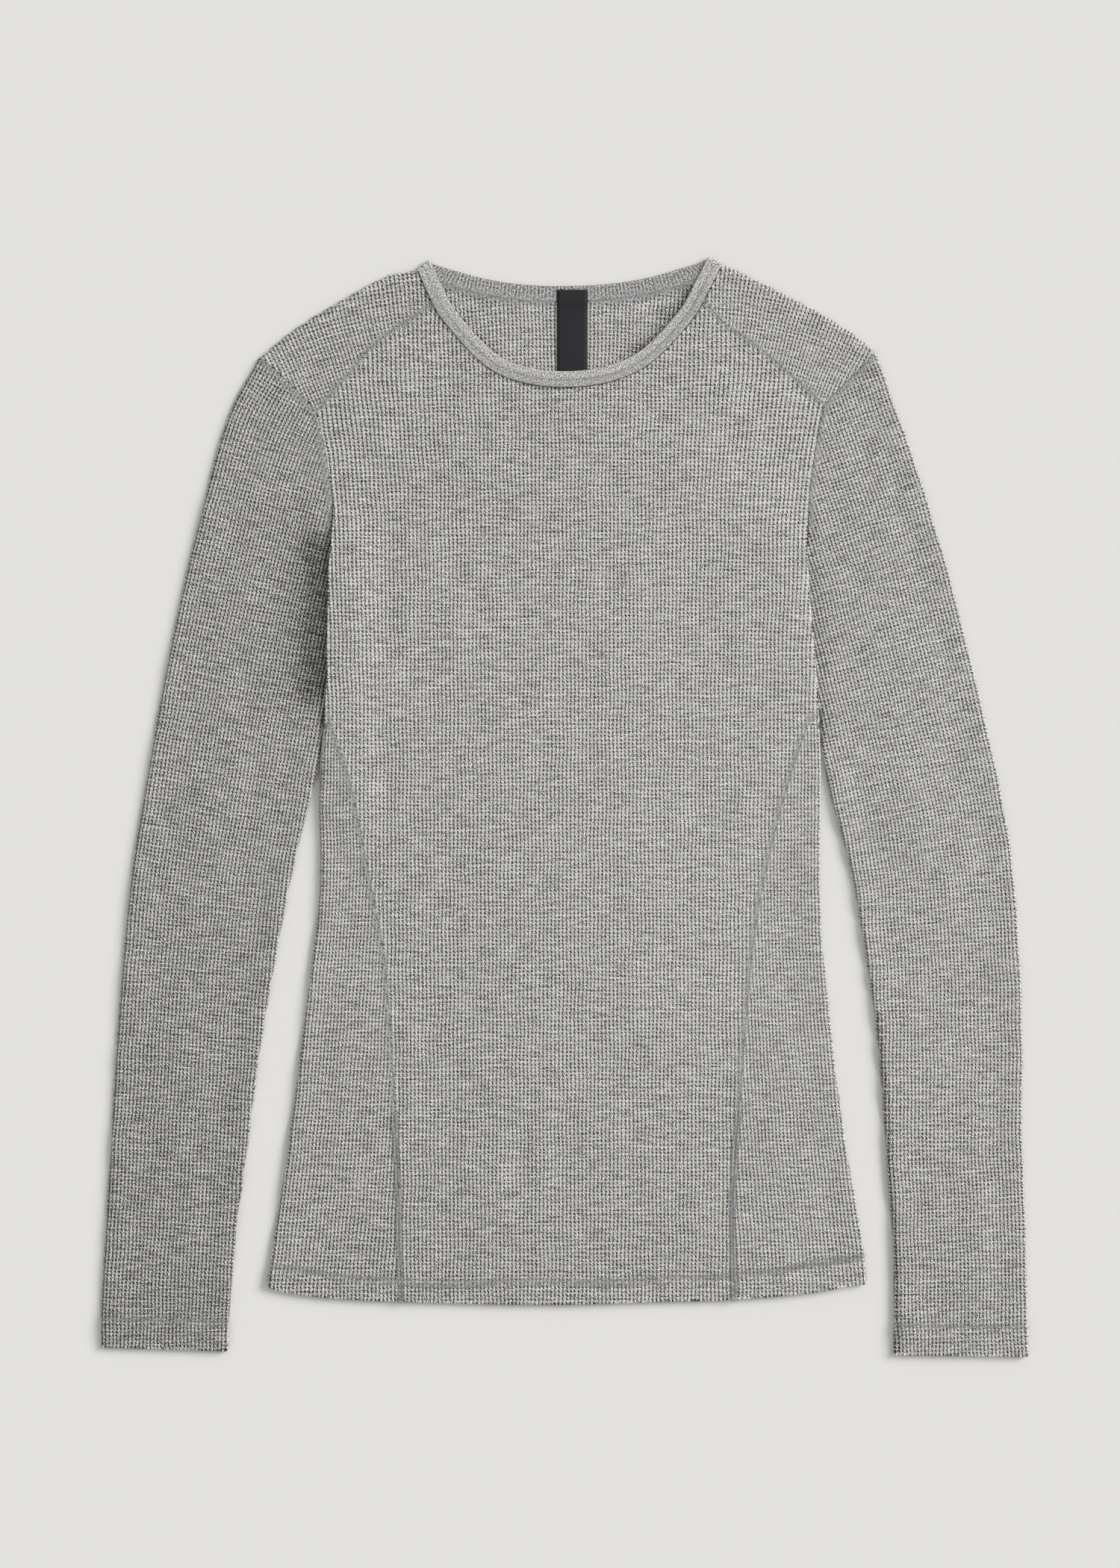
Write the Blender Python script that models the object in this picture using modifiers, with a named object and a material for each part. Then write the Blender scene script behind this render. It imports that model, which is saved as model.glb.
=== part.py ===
"""A long-sleeved thermal top in waffle knit, laid flat with its front upwards.

Every cloth piece is the middle surface of its wall, worked out row by row and thickened by
Solidify. The lower leaf lies on z = 0, the upper leaf rests on it, and both meet in round folds
at the body's sides, the shoulders and the sleeves' edges. The sizes are in millimetres. Left is
the -X side, and the neck points to +Y.
"""
import math
from collections import namedtuple

import bpy
import numpy as np

MM = 0.001

# --- Cloth ---------------------------------------------------------------------------------
WALL = 1.3             # one leaf of the knit
TURN_UP_WALL = 2.3     # the same where hem and cuffs are turned up and sewn down
GAP = 0.3              # between neighbouring pieces, and between leaves that lie on each other
HEM_DEPTH = 15.0
CUFF_DEPTH = 20.0
TURN_UP_STEP = 2.0     # length over which the wall grows into the turned-up part

# --- Folds ---------------------------------------------------------------------------------
FOLD_RADIUS = 1.4      # of the middle surface round a fold
FOLD_CLEARANCE = 0.15  # more room between two pieces where a seam runs over a fold
TUCKED_RADIUS = 0.9    # the same where the sleeve's fold starts under the body
FOLD_REACH = 22.0      # how far in from a fold the upper leaf has settled on the lower one
FOLD_STEPS = 5         # faces round a fold
UNFOLD_LENGTH = 45.0   # run along the sleeve from its tucked fold to its full fold

# --- Underarm, where the front lies over the sleeve --------------------------------------------
UNDERARM_LIFT = 1.8
LIFT_BOTTOM = 30.0     # heights between which the lift comes and goes
LIFT_FULL_BOTTOM = 58.0
LIFT_FULL_TOP = 181.0
LIFT_TOP = 212.0
LIFT_WIDTH = 11.0      # full lift this far in from the body's edge
LIFT_FADE = 34.0       # and none from here on

# --- Neck ----------------------------------------------------------------------------------
BAND_WIDTH = 10.5
BAND_THICKNESS = 2.3
BAND_CORNER = 0.5
BAND_FOLD_RADIUS = 1.35   # of the band's middle where it turns over the shoulder
BAND_FOLD_STEPS = 6
BAND_SETTLE_START = 18.0  # the front band stays on the back band this far from the shoulder
BAND_SETTLE_END = 48.0
BACK_NECK_DEPTH = 18.9    # from the band's tips down to the middle of the back neck
BACK_NECK_POWER = 2.3
BACK_NECK_CROWDING = 0.35  # how far its sections crowd towards the shoulders, of 1
BAND_YOKE_RUN = 25.0      # of the front neck line lies against the yoke, at each end
NECK_TURN_LENGTH = 30.0   # run in which the band's width turns into line with the shoulder
YOKE_NECK_SEGMENTS = 3    # faces along the neck line: yoke, then front panel
FRONT_NECK_SEGMENTS = 16
BACK_NECK_SEGMENTS = 14
YOKE_BACK_WIDTH = 12.0    # of the yoke behind the shoulder fold
YOKE_BACK_SEGMENTS = 2    # faces at each end of the back neck line that lie against the yoke

# --- Label ---------------------------------------------------------------------------------
LABEL_WIDTH = 20.5
LABEL_THICKNESS = 0.6
LABEL_CENTRE = 5.0
LABEL_TOP = 346.0
LABEL_BOTTOM = 286.0
LABEL_STEP = 5.0          # run in which the label steps down from the band to the back
LABEL_RELIEF = 16.0       # the front band lies on the label this far from its middle,
LABEL_RELIEF_END = 48.0   # and has come down beside it from here on

# --- Mesh ----------------------------------------------------------------------------------
SIDE_PANEL_TOP = 55.0     # height at which the side panels end, and the corner above them
CORNER_HEIGHT = 56.6
CORNER_GAP = 0.4          # between a side panel's upper end and the panels above it
SEAM_ROWS = (-285.0, -250.0, -215.0, -180.0, -145.0, -110.0, -75.0, -40.0, -5.0, 22.0, 42.0)
SIDE_LEAF_STEPS = 4       # faces across one leaf of a side panel
YOKE_SEAM_STEPS = 4       # faces along a yoke seam
SLEEVE_ROWS = 15          # faces down a sleeve above its cuff
LINE_STEPS = 8            # points that smooth one stretch between two stations

BodyLevel = namedtuple("BodyLevel", "y left_edge left_seam right_seam right_edge")
BODY_LEVELS = (
    BodyLevel(-320.0, -200.3, -109.0, 113.6, 203.3),
    BodyLevel(-290.0, -195.0, -110.3, 112.8, 199.5),
    BodyLevel(-255.0, -189.6, -111.0, 113.0, 193.2),
    BodyLevel(-190.0, -180.3, -114.6, 117.4, 183.2),
    BodyLevel(-110.0, -170.3, -119.8, 123.8, 174.3),
    BodyLevel(-70.0, -165.2, -126.6, 128.9, 171.8),
    BodyLevel(-35.0, -163.8, -133.4, 135.8, 170.8),
    BodyLevel(0.0, -164.4, -140.2, 144.4, 171.3),
    BodyLevel(30.0, -163.3, -147.5, 153.4, 171.3),
    BodyLevel(55.0, -161.2, -156.6, 162.0, 170.3),
)

HemStation = namedtuple("HemStation", "x y")
HEM_STATIONS = (
    HemStation(-200.3, -321.5),
    HemStation(-180.0, -326.0),
    HemStation(-140.0, -329.6),
    HemStation(-60.0, -332.2),
    HemStation(0.0, -332.8),
    HemStation(60.0, -331.0),
    HemStation(113.6, -329.4),
    HemStation(163.0, -325.2),
    HemStation(190.0, -320.4),
    HemStation(203.3, -318.8),
)

UnderarmLevel = namedtuple("UnderarmLevel", "y left_edge right_edge tuck")
UNDERARM_LEVELS = (
    UnderarmLevel(62.0, -160.6, 169.9, 0.0),
    UnderarmLevel(80.0, -159.6, 168.9, 0.5),
    UnderarmLevel(105.0, -159.1, 166.9, 1.5),
    UnderarmLevel(130.0, -158.5, 164.6, 4.0),
    UnderarmLevel(155.0, -158.3, 162.9, 4.0),
    UnderarmLevel(178.0, -156.3, 162.3, 0.0),
)

ArmholeStation = namedtuple("ArmholeStation", "left_x left_y right_x right_y")
ARMHOLE_STATIONS = (
    ArmholeStation(-156.3, 178.0, 162.3, 178.0),
    ArmholeStation(-155.3, 202.0, 163.2, 202.0),
    ArmholeStation(-158.0, 222.0, 165.3, 224.0),
    ArmholeStation(-161.8, 245.0, 169.0, 247.0),
    ArmholeStation(-166.8, 264.0, 174.0, 268.5),
    ArmholeStation(-181.0, 280.0, 187.0, 283.0),
    ArmholeStation(-194.5, 293.0, 199.5, 295.0),
    ArmholeStation(-204.3, 301.0, 207.8, 305.0),
)
YOKE_SEAM_STATION = 4     # the armhole station where the front yoke seam ends
YOKE_BACK_STATION = 6     # and the one where the back yoke seam ends

OutlineStation = namedtuple("OutlineStation", "left_x left_y right_x right_y")
SHOULDER_STATIONS = (
    OutlineStation(-99.8, 360.0, 105.3, 363.5),
    OutlineStation(-121.3, 354.6, 121.3, 356.5),
    OutlineStation(-149.3, 339.5, 160.8, 336.5),
    OutlineStation(-178.8, 321.5, 190.3, 319.0),
    OutlineStation(-204.3, 301.0, 207.8, 305.0),
)
YOKE_SEAM_STATIONS = (
    OutlineStation(-124.3, 312.5, 106.3, 324.0),
    OutlineStation(-144.3, 290.5, 131.3, 306.5),
)

SleeveStation = namedtuple("SleeveStation", "outer_x outer_y inner_x inner_y")
LEFT_SLEEVE = (
    SleeveStation(-204.3, 301.0, -161.3, 62.0),
    SleeveStation(-225.3, 260.5, -162.7, 47.0),
    SleeveStation(-241.8, 202.5, -164.6, 25.5),
    SleeveStation(-255.8, 144.5, -170.0, 7.0),
    SleeveStation(-268.8, 80.5, -178.0, -26.5),
    SleeveStation(-282.8, 0.5, -186.0, -63.0),
    SleeveStation(-290.8, -52.5, -195.3, -113.0),
    SleeveStation(-297.8, -130.0, -202.8, -156.0),
    SleeveStation(-302.8, -207.5, -211.8, -224.5),
    SleeveStation(-307.3, -284.5, -219.8, -284.5),
    SleeveStation(-310.2, -334.0, -223.8, -334.0),
    SleeveStation(-310.3, -361.3, -225.3, -364.0),
)
RIGHT_SLEEVE = (
    SleeveStation(207.8, 305.0, 170.8, 62.0),
    SleeveStation(227.8, 250.0, 171.9, 44.5),
    SleeveStation(249.3, 184.0, 174.3, 23.0),
    SleeveStation(265.0, 126.0, 179.0, 1.5),
    SleeveStation(280.8, 60.5, 190.5, -40.0),
    SleeveStation(295.8, -9.5, 197.5, -78.0),
    SleeveStation(303.3, -78.5, 206.8, -138.5),
    SleeveStation(306.3, -150.0, 212.0, -190.0),
    SleeveStation(306.3, -224.5, 215.5, -245.0),
    SleeveStation(308.6, -284.5, 218.8, -285.0),
    SleeveStation(309.3, -334.0, 219.8, -334.0),
    SleeveStation(310.3, -367.5, 219.3, -366.5),
)

NeckStation = namedtuple("NeckStation", "x y")
FRONT_NECK_STATIONS = (
    NeckStation(-93.8, 361.2),
    NeckStation(-86.0, 344.0),
    NeckStation(-75.5, 326.5),
    NeckStation(-50.0, 299.5),
    NeckStation(-25.0, 288.8),
    NeckStation(4.0, 286.3),
    NeckStation(32.0, 290.6),
    NeckStation(56.0, 302.8),
    NeckStation(80.5, 328.8),
    NeckStation(91.0, 347.0),
    NeckStation(99.5, 363.8),
)
LEFT_SHOULDER_DIRECTION = (-0.81, -0.586)   # along the shoulder fold, away from the neck
RIGHT_SHOULDER_DIRECTION = (0.874, -0.486)

# Soft rises of the upper leaves: centre, half length, half width, turn (degrees) and height
Swell = namedtuple("Swell", "x y half_length half_width turn height")
SWELLS = (
    Swell(-60.0, 215.0, 70.0, 26.0, 35.0, 0.7),
    Swell(75.0, 235.0, 60.0, 26.0, -40.0, 0.8),
    Swell(-118.0, 110.0, 90.0, 20.0, 84.0, 0.7),
    Swell(120.0, 105.0, 90.0, 20.0, 96.0, 0.8),
    Swell(10.0, 40.0, 110.0, 34.0, 8.0, 0.5),
    Swell(-40.0, -90.0, 120.0, 30.0, 86.0, 0.6),
    Swell(60.0, -150.0, 110.0, 26.0, 97.0, 0.7),
    Swell(-150.0, -220.0, 70.0, 22.0, 80.0, 0.6),
    Swell(158.0, -230.0, 70.0, 22.0, 98.0, 0.7),
    Swell(-30.0, -270.0, 90.0, 22.0, -6.0, 0.6),
    Swell(-215.0, 170.0, 90.0, 18.0, 75.0, 0.8),
    Swell(222.0, 150.0, 90.0, 18.0, 106.0, 0.8),
    Swell(-240.0, -20.0, 80.0, 20.0, 60.0, 0.6),
    Swell(250.0, -40.0, 80.0, 20.0, 118.0, 0.6),
    Swell(-262.0, -240.0, 80.0, 18.0, 84.0, 0.7),
    Swell(266.0, -230.0, 80.0, 18.0, 92.0, 0.7),
)

# Colour, roughness: the heathered knit, its binding and the label tape
KNIT_FINISH = ((0.36, 0.35, 0.33), 0.9)
BINDING_FINISH = ((0.38, 0.37, 0.355), 0.88)
LABEL_FINISH = ((0.025, 0.026, 0.03), 0.6)


# --- Plan lines ------------------------------------------------------------------------------

def smooth_line(stations):
    """Points of a smooth line through the stations (Catmull-Rom)."""
    knots = np.array(stations, float)
    knots = np.vstack([2 * knots[0] - knots[1], knots, 2 * knots[-1] - knots[-2]])
    points = []
    for a, b, c, d in zip(knots, knots[1:], knots[2:], knots[3:]):
        for step in range(LINE_STEPS):
            t = step / LINE_STEPS
            curve = 2 * b + (c - a) * t + (2 * a - 5 * b + 4 * c - d) * t ** 2
            points.append(0.5 * (curve + (3 * b - a - 3 * c + d) * t ** 3))
    points.append(knots[-2])
    return np.array(points)


def lengths(line):
    """Distance of each of a line's points from its start, along the line."""
    steps = np.linalg.norm(np.diff(line, axis=0), axis=1)
    return np.concatenate([[0.0], np.cumsum(steps)])


def at_lengths(line, distances):
    """The line's points at the given distances from its start."""
    run = lengths(line)
    return np.array([np.interp(distances, run, line[:, axis]) for axis in range(line.shape[1])]).T


def even_points(line, faces):
    """Points that split a line into equal lengths."""
    return at_lengths(line, np.linspace(0.0, lengths(line)[-1], faces + 1))


def left_normals(line):
    """Unit vectors to the left of a line's run, at its points."""
    run = np.gradient(np.array(line, float), axis=0)
    turned = np.stack([-run[:, 1], run[:, 0]], axis=1)
    return turned / np.linalg.norm(turned, axis=1, keepdims=True)


def moved_left(line, distance):
    """The line moved sideways, to the left of its run."""
    return np.array(line, float) + left_normals(line) * distance


def smooth_step(value, start, end):
    """0 before start, 1 after end, with a soft ramp between them."""
    t = np.clip((np.asarray(value, float) - start) / (end - start), 0.0, 1.0)
    return t * t * (3.0 - 2.0 * t)


def table_line(table, x_name, y_name):
    """A smooth line through two named columns of a table."""
    return smooth_line([(getattr(row, x_name), getattr(row, y_name)) for row in table])


class Side:
    """The plan lines of one side of the garment: 'left' is -X, 'right' is +X."""

    def __init__(self, name, sleeve_table, shoulder_direction):
        self.name = name
        self.sign = -1.0 if name == "left" else 1.0
        self.edge = table_line(BODY_LEVELS, name + "_edge", "y")
        self.seam = table_line(BODY_LEVELS, name + "_seam", "y")
        self.lip = [(getattr(row, name + "_edge"), row.y) for row in UNDERARM_LEVELS]
        self.armhole = [
            (getattr(row, name + "_x"), getattr(row, name + "_y")) for row in ARMHOLE_STATIONS
        ]
        self.shoulder = table_line(SHOULDER_STATIONS, name + "_x", name + "_y")
        self.yoke_seam = [
            (getattr(row, name + "_x"), getattr(row, name + "_y")) for row in YOKE_SEAM_STATIONS
        ]
        self.sleeve_outer = table_line(sleeve_table, "outer_x", "outer_y")
        self.sleeve_inner = table_line(sleeve_table, "inner_x", "inner_y")
        self.shoulder_direction = np.array(shoulder_direction)

    def seam_x(self, y):
        """The side seam's place at a height."""
        return np.interp(y, self.seam[:, 1], self.seam[:, 0])

    def edge_x(self, y):
        """The body's edge at a height."""
        return np.interp(y, self.edge[:, 1], self.edge[:, 0])

    def neck_index(self, index):
        """Index of a point of a neck line, counted from this side's shoulder."""
        return index if self.sign < 0 else -1 - index

    def neck_outward(self):
        """Direction out of the garment across the shoulder fold, where the band crosses it."""
        x, y = self.shoulder_direction
        return np.array([y, -x]) if self.sign < 0 else np.array([-y, x])

    def armhole_outward(self):
        """Direction out of the garment along the armhole at the shoulder."""
        run = np.subtract(self.armhole[-1], self.armhole[-2])
        return run / np.linalg.norm(run)

    def hidden_armhole(self):
        """The armhole under the front's edge, from its lowest point up to where it shows."""
        return [
            (x - self.sign * row.tuck, y) for (x, y), row in zip(self.lip, UNDERARM_LEVELS)
        ]

    def whole_armhole(self):
        """The armhole from its lowest point up to the shoulder."""
        return np.array(self.hidden_armhole() + self.armhole[1:])

    def sewn_armhole(self, facing):
        """The whole armhole moved to one piece's side of the seam, more so at the fold."""
        whole = self.whole_armhole()
        normals = left_normals(whole)
        moved = whole + normals * facing * GAP / 2
        moved[-1] += normals[-1] * facing * FOLD_CLEARANCE
        return moved


LEFT = Side("left", LEFT_SLEEVE, LEFT_SHOULDER_DIRECTION)
RIGHT = Side("right", RIGHT_SLEEVE, RIGHT_SHOULDER_DIRECTION)
SIDES = (LEFT, RIGHT)


# --- Heights ---------------------------------------------------------------------------------

HEM_LINE = smooth_line(HEM_STATIONS)


def hem_y(x):
    """The hem's lower edge."""
    return np.interp(x, HEM_LINE[:, 0], HEM_LINE[:, 1])


def body_wall(plan):
    """The cloth's thickness on the body: more where the hem is turned up."""
    above_hem = plan[..., 1] - hem_y(plan[..., 0])
    turned_up = 1.0 - smooth_step(above_hem, HEM_DEPTH - TURN_UP_STEP, HEM_DEPTH)
    return WALL + (TURN_UP_WALL - WALL) * turned_up


def fold_line(line, radii):
    """A fold's plan line with the radius of the fold at each point."""
    return np.column_stack([line, np.broadcast_to(radii, len(line))])


def fold_lines():
    """The folds of the body's sides, the shoulders and the sleeves' edges."""
    folds = []
    for side in SIDES:
        outer = np.vstack([side.shoulder, side.sleeve_outer[1:]])
        unfold = smooth_step(lengths(side.sleeve_inner), 0.0, UNFOLD_LENGTH)
        inner_radii = TUCKED_RADIUS + (FOLD_RADIUS - TUCKED_RADIUS) * unfold
        folds.append(("body", fold_line(side.edge, FOLD_RADIUS)))
        folds.append(("shared", fold_line(outer, FOLD_RADIUS)))
        folds.append(("sleeve", fold_line(side.sleeve_inner, inner_radii)))
    return folds


FOLDS = fold_lines()


def swell_height(plan):
    """The soft rises that the upper leaves keep where they aren't pressed flat."""
    height = np.zeros(plan.shape[:-1])
    for swell in SWELLS:
        turn = math.radians(swell.turn)
        x = plan[..., 0] - swell.x
        y = plan[..., 1] - swell.y
        along = (x * math.cos(turn) + y * math.sin(turn)) / swell.half_length
        across = (y * math.cos(turn) - x * math.sin(turn)) / swell.half_width
        height += swell.height * np.exp(-(along ** 2 + across ** 2))
    return height


def underarm_lift(plan):
    """How far the front rises where it lies over the sleeve."""
    y = plan[..., 1]
    rise = smooth_step(y, LIFT_BOTTOM, LIFT_FULL_BOTTOM)
    fall = 1.0 - smooth_step(y, LIFT_FULL_TOP, LIFT_TOP)
    lift = np.zeros(plan.shape[:-1])
    for side in SIDES:
        lip = np.array(side.lip)
        edge_x = np.interp(y, lip[:, 1], lip[:, 0])
        inward = (edge_x - plan[..., 0]) * side.sign
        lift += 1.0 - smooth_step(inward, LIFT_WIDTH, LIFT_FADE)
    return UNDERARM_LIFT * rise * fall * np.minimum(lift, 1.0)


def upper_height(plan, wall, part):
    """Height of the upper leaf's middle, for the part 'body' or 'sleeve'."""
    settled = wall + GAP
    height = settled.copy()
    for owner, fold in FOLDS:
        if owner not in (part, "shared"):
            continue
        away = plan[..., None, :] - fold[:, :2]
        distances = np.sqrt((away ** 2).sum(axis=-1))
        nearest = distances.argmin(axis=-1)
        distance = np.take_along_axis(distances, nearest[..., None], axis=-1)[..., 0]
        radius = fold[nearest, 2]
        ease = 1.0 - smooth_step(distance, radius, FOLD_REACH)
        height = np.maximum(height, settled + (2 * radius - settled) * ease)
    if part == "body":
        height = np.maximum(height, settled + underarm_lift(plan))
    return wall / 2 + height + swell_height(plan)


# --- Surfaces --------------------------------------------------------------------------------

def patch(bottom, top, left, right, across, up):
    """Plan points of a Coons patch, at the fractions across and up of its four edges."""
    u = np.asarray(across)[None, :, None]
    v = np.asarray(up)[:, None, None]
    bottom, top, left, right = (np.asarray(edge, float) for edge in (bottom, top, left, right))
    between_rows = (1 - v) * bottom[None] + v * top[None]
    between_columns = (1 - u) * left[:, None] + u * right[:, None]
    corners = (1 - u) * (1 - v) * bottom[0] + u * (1 - v) * bottom[-1]
    corners = corners + (1 - u) * v * top[0] + u * v * top[-1]
    return between_rows + between_columns - corners


def fractions(line):
    """Each point's share of the line's length."""
    run = lengths(np.asarray(line, float))
    return run / run[-1]


def fold_arc(start, end, outward):
    """Points between the last point of one leaf and the first of the other, round a fold."""
    centre_z = (start[2] + end[2]) / 2
    radius = (start[2] - end[2]) / 2
    points = []
    for step in range(1, FOLD_STEPS):
        share = step / FOLD_STEPS
        angle = math.pi / 2 - math.pi * share
        base = start[:2] + (end[:2] - start[:2]) * share
        reach = abs(radius) * math.cos(angle)
        points.append((*(base + outward * reach), centre_z + radius * math.sin(angle)))
    return points


def fold_centres(edge, outward, walls, part):
    """Plan points in from an edge, where the fold's half circle starts."""
    edge = np.asarray(edge, float)
    first_guess = edge - outward * (FOLD_RADIUS + walls[:, None] / 2)
    upper = upper_height(first_guess, walls, part)
    radius = (upper - walls / 2) / 2
    return edge - outward * (radius + walls / 2)[:, None]


# --- Solids ----------------------------------------------------------------------------------

def clear_scene():
    """Remove what the file held before."""
    for old in list(bpy.data.objects):
        bpy.data.objects.remove(old)


def finish_material(name, finish):
    """A plain material with a piece's colour and roughness."""
    colour, roughness = finish
    material = bpy.data.materials.new(name)
    material.use_nodes = True
    shader = material.node_tree.nodes["Principled BSDF"]
    shader.inputs["Base Color"].default_value = (*colour, 1.0)
    shader.inputs["Roughness"].default_value = roughness
    shader.inputs["Metallic"].default_value = 0.0
    return material


def add_object(name, mesh, finish, collection):
    """Put a mesh in the collection as a named object with its own material."""
    mesh.materials.append(finish_material(name + "_finish", finish))
    piece = bpy.data.objects.new(name, mesh)
    collection.objects.link(piece)
    return piece


def grid_faces(rows, columns, closed_rows=False, closed_columns=False):
    """Faces between the rows and columns of a grid of points."""
    faces = []
    for row in range(rows if closed_rows else rows - 1):
        for column in range(columns if closed_columns else columns - 1):
            next_row = (row + 1) % rows
            next_column = (column + 1) % columns
            faces.append((
                row * columns + column,
                row * columns + next_column,
                next_row * columns + next_column,
                next_row * columns + column,
            ))
    return faces


def cloth_piece(name, points, walls, collection, closed_columns=False):
    """A cloth wall round a grid of its middle points, as thick as walls says at each point."""
    rows, columns = points.shape[:2]
    mesh = bpy.data.meshes.new(name)
    faces = grid_faces(rows, columns, closed_columns=closed_columns)
    mesh.from_pydata((points.reshape(-1, 3) * MM).tolist(), [], faces)
    piece = add_object(name, mesh, KNIT_FINISH, collection)
    turned_up = piece.vertex_groups.new(name="turned_up")
    shares = (walls.reshape(-1) - WALL) / (TURN_UP_WALL - WALL)
    for index, share in enumerate(shares):
        turned_up.add([index], float(share), "REPLACE")
    shell = piece.modifiers.new("wall", "SOLIDIFY")
    shell.thickness = TURN_UP_WALL * MM
    shell.offset = 0.0
    shell.vertex_group = turned_up.name
    shell.thickness_vertex_group = WALL / TURN_UP_WALL
    return piece


def leaf(plan, walls, part, upper):
    """Add heights to a leaf's plan points."""
    heights = upper_height(plan, walls, part) if upper else walls / 2
    return np.dstack([plan, heights])


# --- Neck ------------------------------------------------------------------------------------

def front_neck_line():
    """The band's middle line round the front neck, from the left shoulder to the right one."""
    run = smooth_line(FRONT_NECK_STATIONS)
    total = lengths(run)[-1]
    stops = np.concatenate([
        np.linspace(0.0, BAND_YOKE_RUN, YOKE_NECK_SEGMENTS + 1)[:-1],
        np.linspace(BAND_YOKE_RUN, total - BAND_YOKE_RUN, FRONT_NECK_SEGMENTS + 1)[:-1],
        np.linspace(total - BAND_YOKE_RUN, total, YOKE_NECK_SEGMENTS + 1),
    ])
    return at_lengths(run, stops)


def turned_widths(normals, line):
    """The band's width directions: normal to the line, and along the shoulder at its ends."""
    run = lengths(line)
    left_share = 1.0 - smooth_step(run, 0.0, NECK_TURN_LENGTH)
    right_share = 1.0 - smooth_step(run[-1] - run, 0.0, NECK_TURN_LENGTH)
    middle_share = 1.0 - left_share - right_share
    widths = (
        normals * middle_share[:, None]
        + LEFT.shoulder_direction * left_share[:, None]
        + RIGHT.shoulder_direction * right_share[:, None]
    )
    return widths / np.linalg.norm(widths, axis=1, keepdims=True)


def back_neck_line(start, end):
    """The band's middle line along the back neck, from the left shoulder to the right one."""
    share = np.linspace(-1.0, 1.0, BACK_NECK_SEGMENTS + 1)
    crowded = np.sin(share * math.pi / 2)
    share = share + (crowded - share) * BACK_NECK_CROWDING
    middle = (start + end) / 2
    x = middle[0] + share * (end[0] - start[0]) / 2
    tips = start[1] + (end[1] - start[1]) * (share + 1) / 2
    y = tips - BACK_NECK_DEPTH * (1.0 - np.abs(share) ** BACK_NECK_POWER)
    return np.column_stack([x, y])


class Neck:
    """The band's sections: where its middle runs, and which way its width lies."""

    def __init__(self):
        self.front = front_neck_line()
        self.front_width = turned_widths(-left_normals(self.front), self.front)
        self.back = back_neck_line(self.front[0], self.front[-1])
        self.back_width = turned_widths(-left_normals(self.back), self.back)

    def outer(self, line, widths, clearance):
        """Plan points on the band's sewn edge, moved out by a clearance."""
        return line + widths * (BAND_WIDTH / 2 + clearance)

    def front_outer(self):
        """The line where yokes and front panel meet the band."""
        return self.outer(self.front, self.front_width, GAP)

    def back_outer(self):
        """The line where yokes and back panel meet the band."""
        return self.outer(self.back, self.back_width, GAP)

    def front_heights(self):
        """Height of the band's middle along the front."""
        run = lengths(self.front)
        from_end = np.minimum(run, run[-1] - run)
        flat = WALL + GAP + BAND_THICKNESS / 2
        shoulder = BAND_THICKNESS / 2 + 2 * BAND_FOLD_RADIUS
        settle = smooth_step(from_end, BAND_SETTLE_START, BAND_SETTLE_END)
        over_label = LABEL_THICKNESS + GAP
        from_label = np.abs(self.front[:, 0] - LABEL_CENTRE)
        rise = over_label * (1.0 - smooth_step(from_label, LABEL_RELIEF, LABEL_RELIEF_END))
        return shoulder + (flat - shoulder) * settle + rise * settle

    def sections(self):
        """Rows of (middle, width direction, thickness direction) round the whole band."""
        up = np.array([0.0, 0.0, 1.0])
        rows = []
        heights = self.front_heights()
        for point, width, height in zip(self.front, self.front_width, heights):
            rows.append((np.array([*point, height]), np.array([*width, 0.0]), up))
        rows += self.shoulder_turn(self.front[-1], self.front_width[-1], 1.0)
        for point, width in zip(self.back[::-1], self.back_width[::-1]):
            middle = np.array([*point, BAND_THICKNESS / 2])
            rows.append((middle, np.array([*width, 0.0]), -up))
        rows += self.shoulder_turn(self.front[0], self.front_width[0], -1.0)
        return rows

    def shoulder_turn(self, plan, width, direction):
        """Sections that take the band over the shoulder: down at +1, up again at -1."""
        outward = np.array([-width[1], width[0]])
        outward = outward if outward[1] > 0 else -outward
        rows = []
        for step in range(1, BAND_FOLD_STEPS):
            angle = direction * (math.pi / 2 - math.pi * step / BAND_FOLD_STEPS)
            radial = np.array([*(outward * math.cos(angle)), math.sin(angle)])
            base = np.array([*plan, BAND_THICKNESS / 2 + BAND_FOLD_RADIUS])
            rows.append((base + radial * BAND_FOLD_RADIUS, np.array([*width, 0.0]), radial))
        return rows


NECK = Neck()


def make_neckband(collection):
    """The folded binding round the neck, a flat ring that turns over at both shoulders."""
    half_width = BAND_WIDTH / 2
    half_thickness = BAND_THICKNESS / 2
    profile = (
        (-half_width, 0.0),
        (-half_width + BAND_CORNER, half_thickness),
        (0.0, half_thickness),
        (half_width - BAND_CORNER, half_thickness),
        (half_width, 0.0),
        (half_width - BAND_CORNER, -half_thickness),
        (0.0, -half_thickness),
        (-half_width + BAND_CORNER, -half_thickness),
    )
    rows = NECK.sections()
    points = [
        middle + width * across + thickness * rise
        for middle, width, thickness in rows
        for across, rise in profile
    ]
    faces = grid_faces(len(rows), len(profile), closed_rows=True, closed_columns=True)
    mesh = bpy.data.meshes.new("neckband")
    mesh.from_pydata((np.array(points) * MM).tolist(), [], faces)
    return add_object("neckband", mesh, BINDING_FINISH, collection)


# --- Body ------------------------------------------------------------------------------------

def seam_levels(side):
    """Heights of the rows along a side seam, from the hem to the side panel's upper end."""
    hem = float(hem_y(side.seam[0, 0]))
    upper_rows = [y for y in SEAM_ROWS if y > hem + HEM_DEPTH]
    return [hem, hem + HEM_DEPTH - TURN_UP_STEP, hem + HEM_DEPTH] + upper_rows


def seam_points(side, top):
    """The side seam's points at its rows, with its last row at the height top."""
    levels = seam_levels(side) + [top]
    return np.array([(float(side.seam_x(y)), y) for y in levels])


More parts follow.
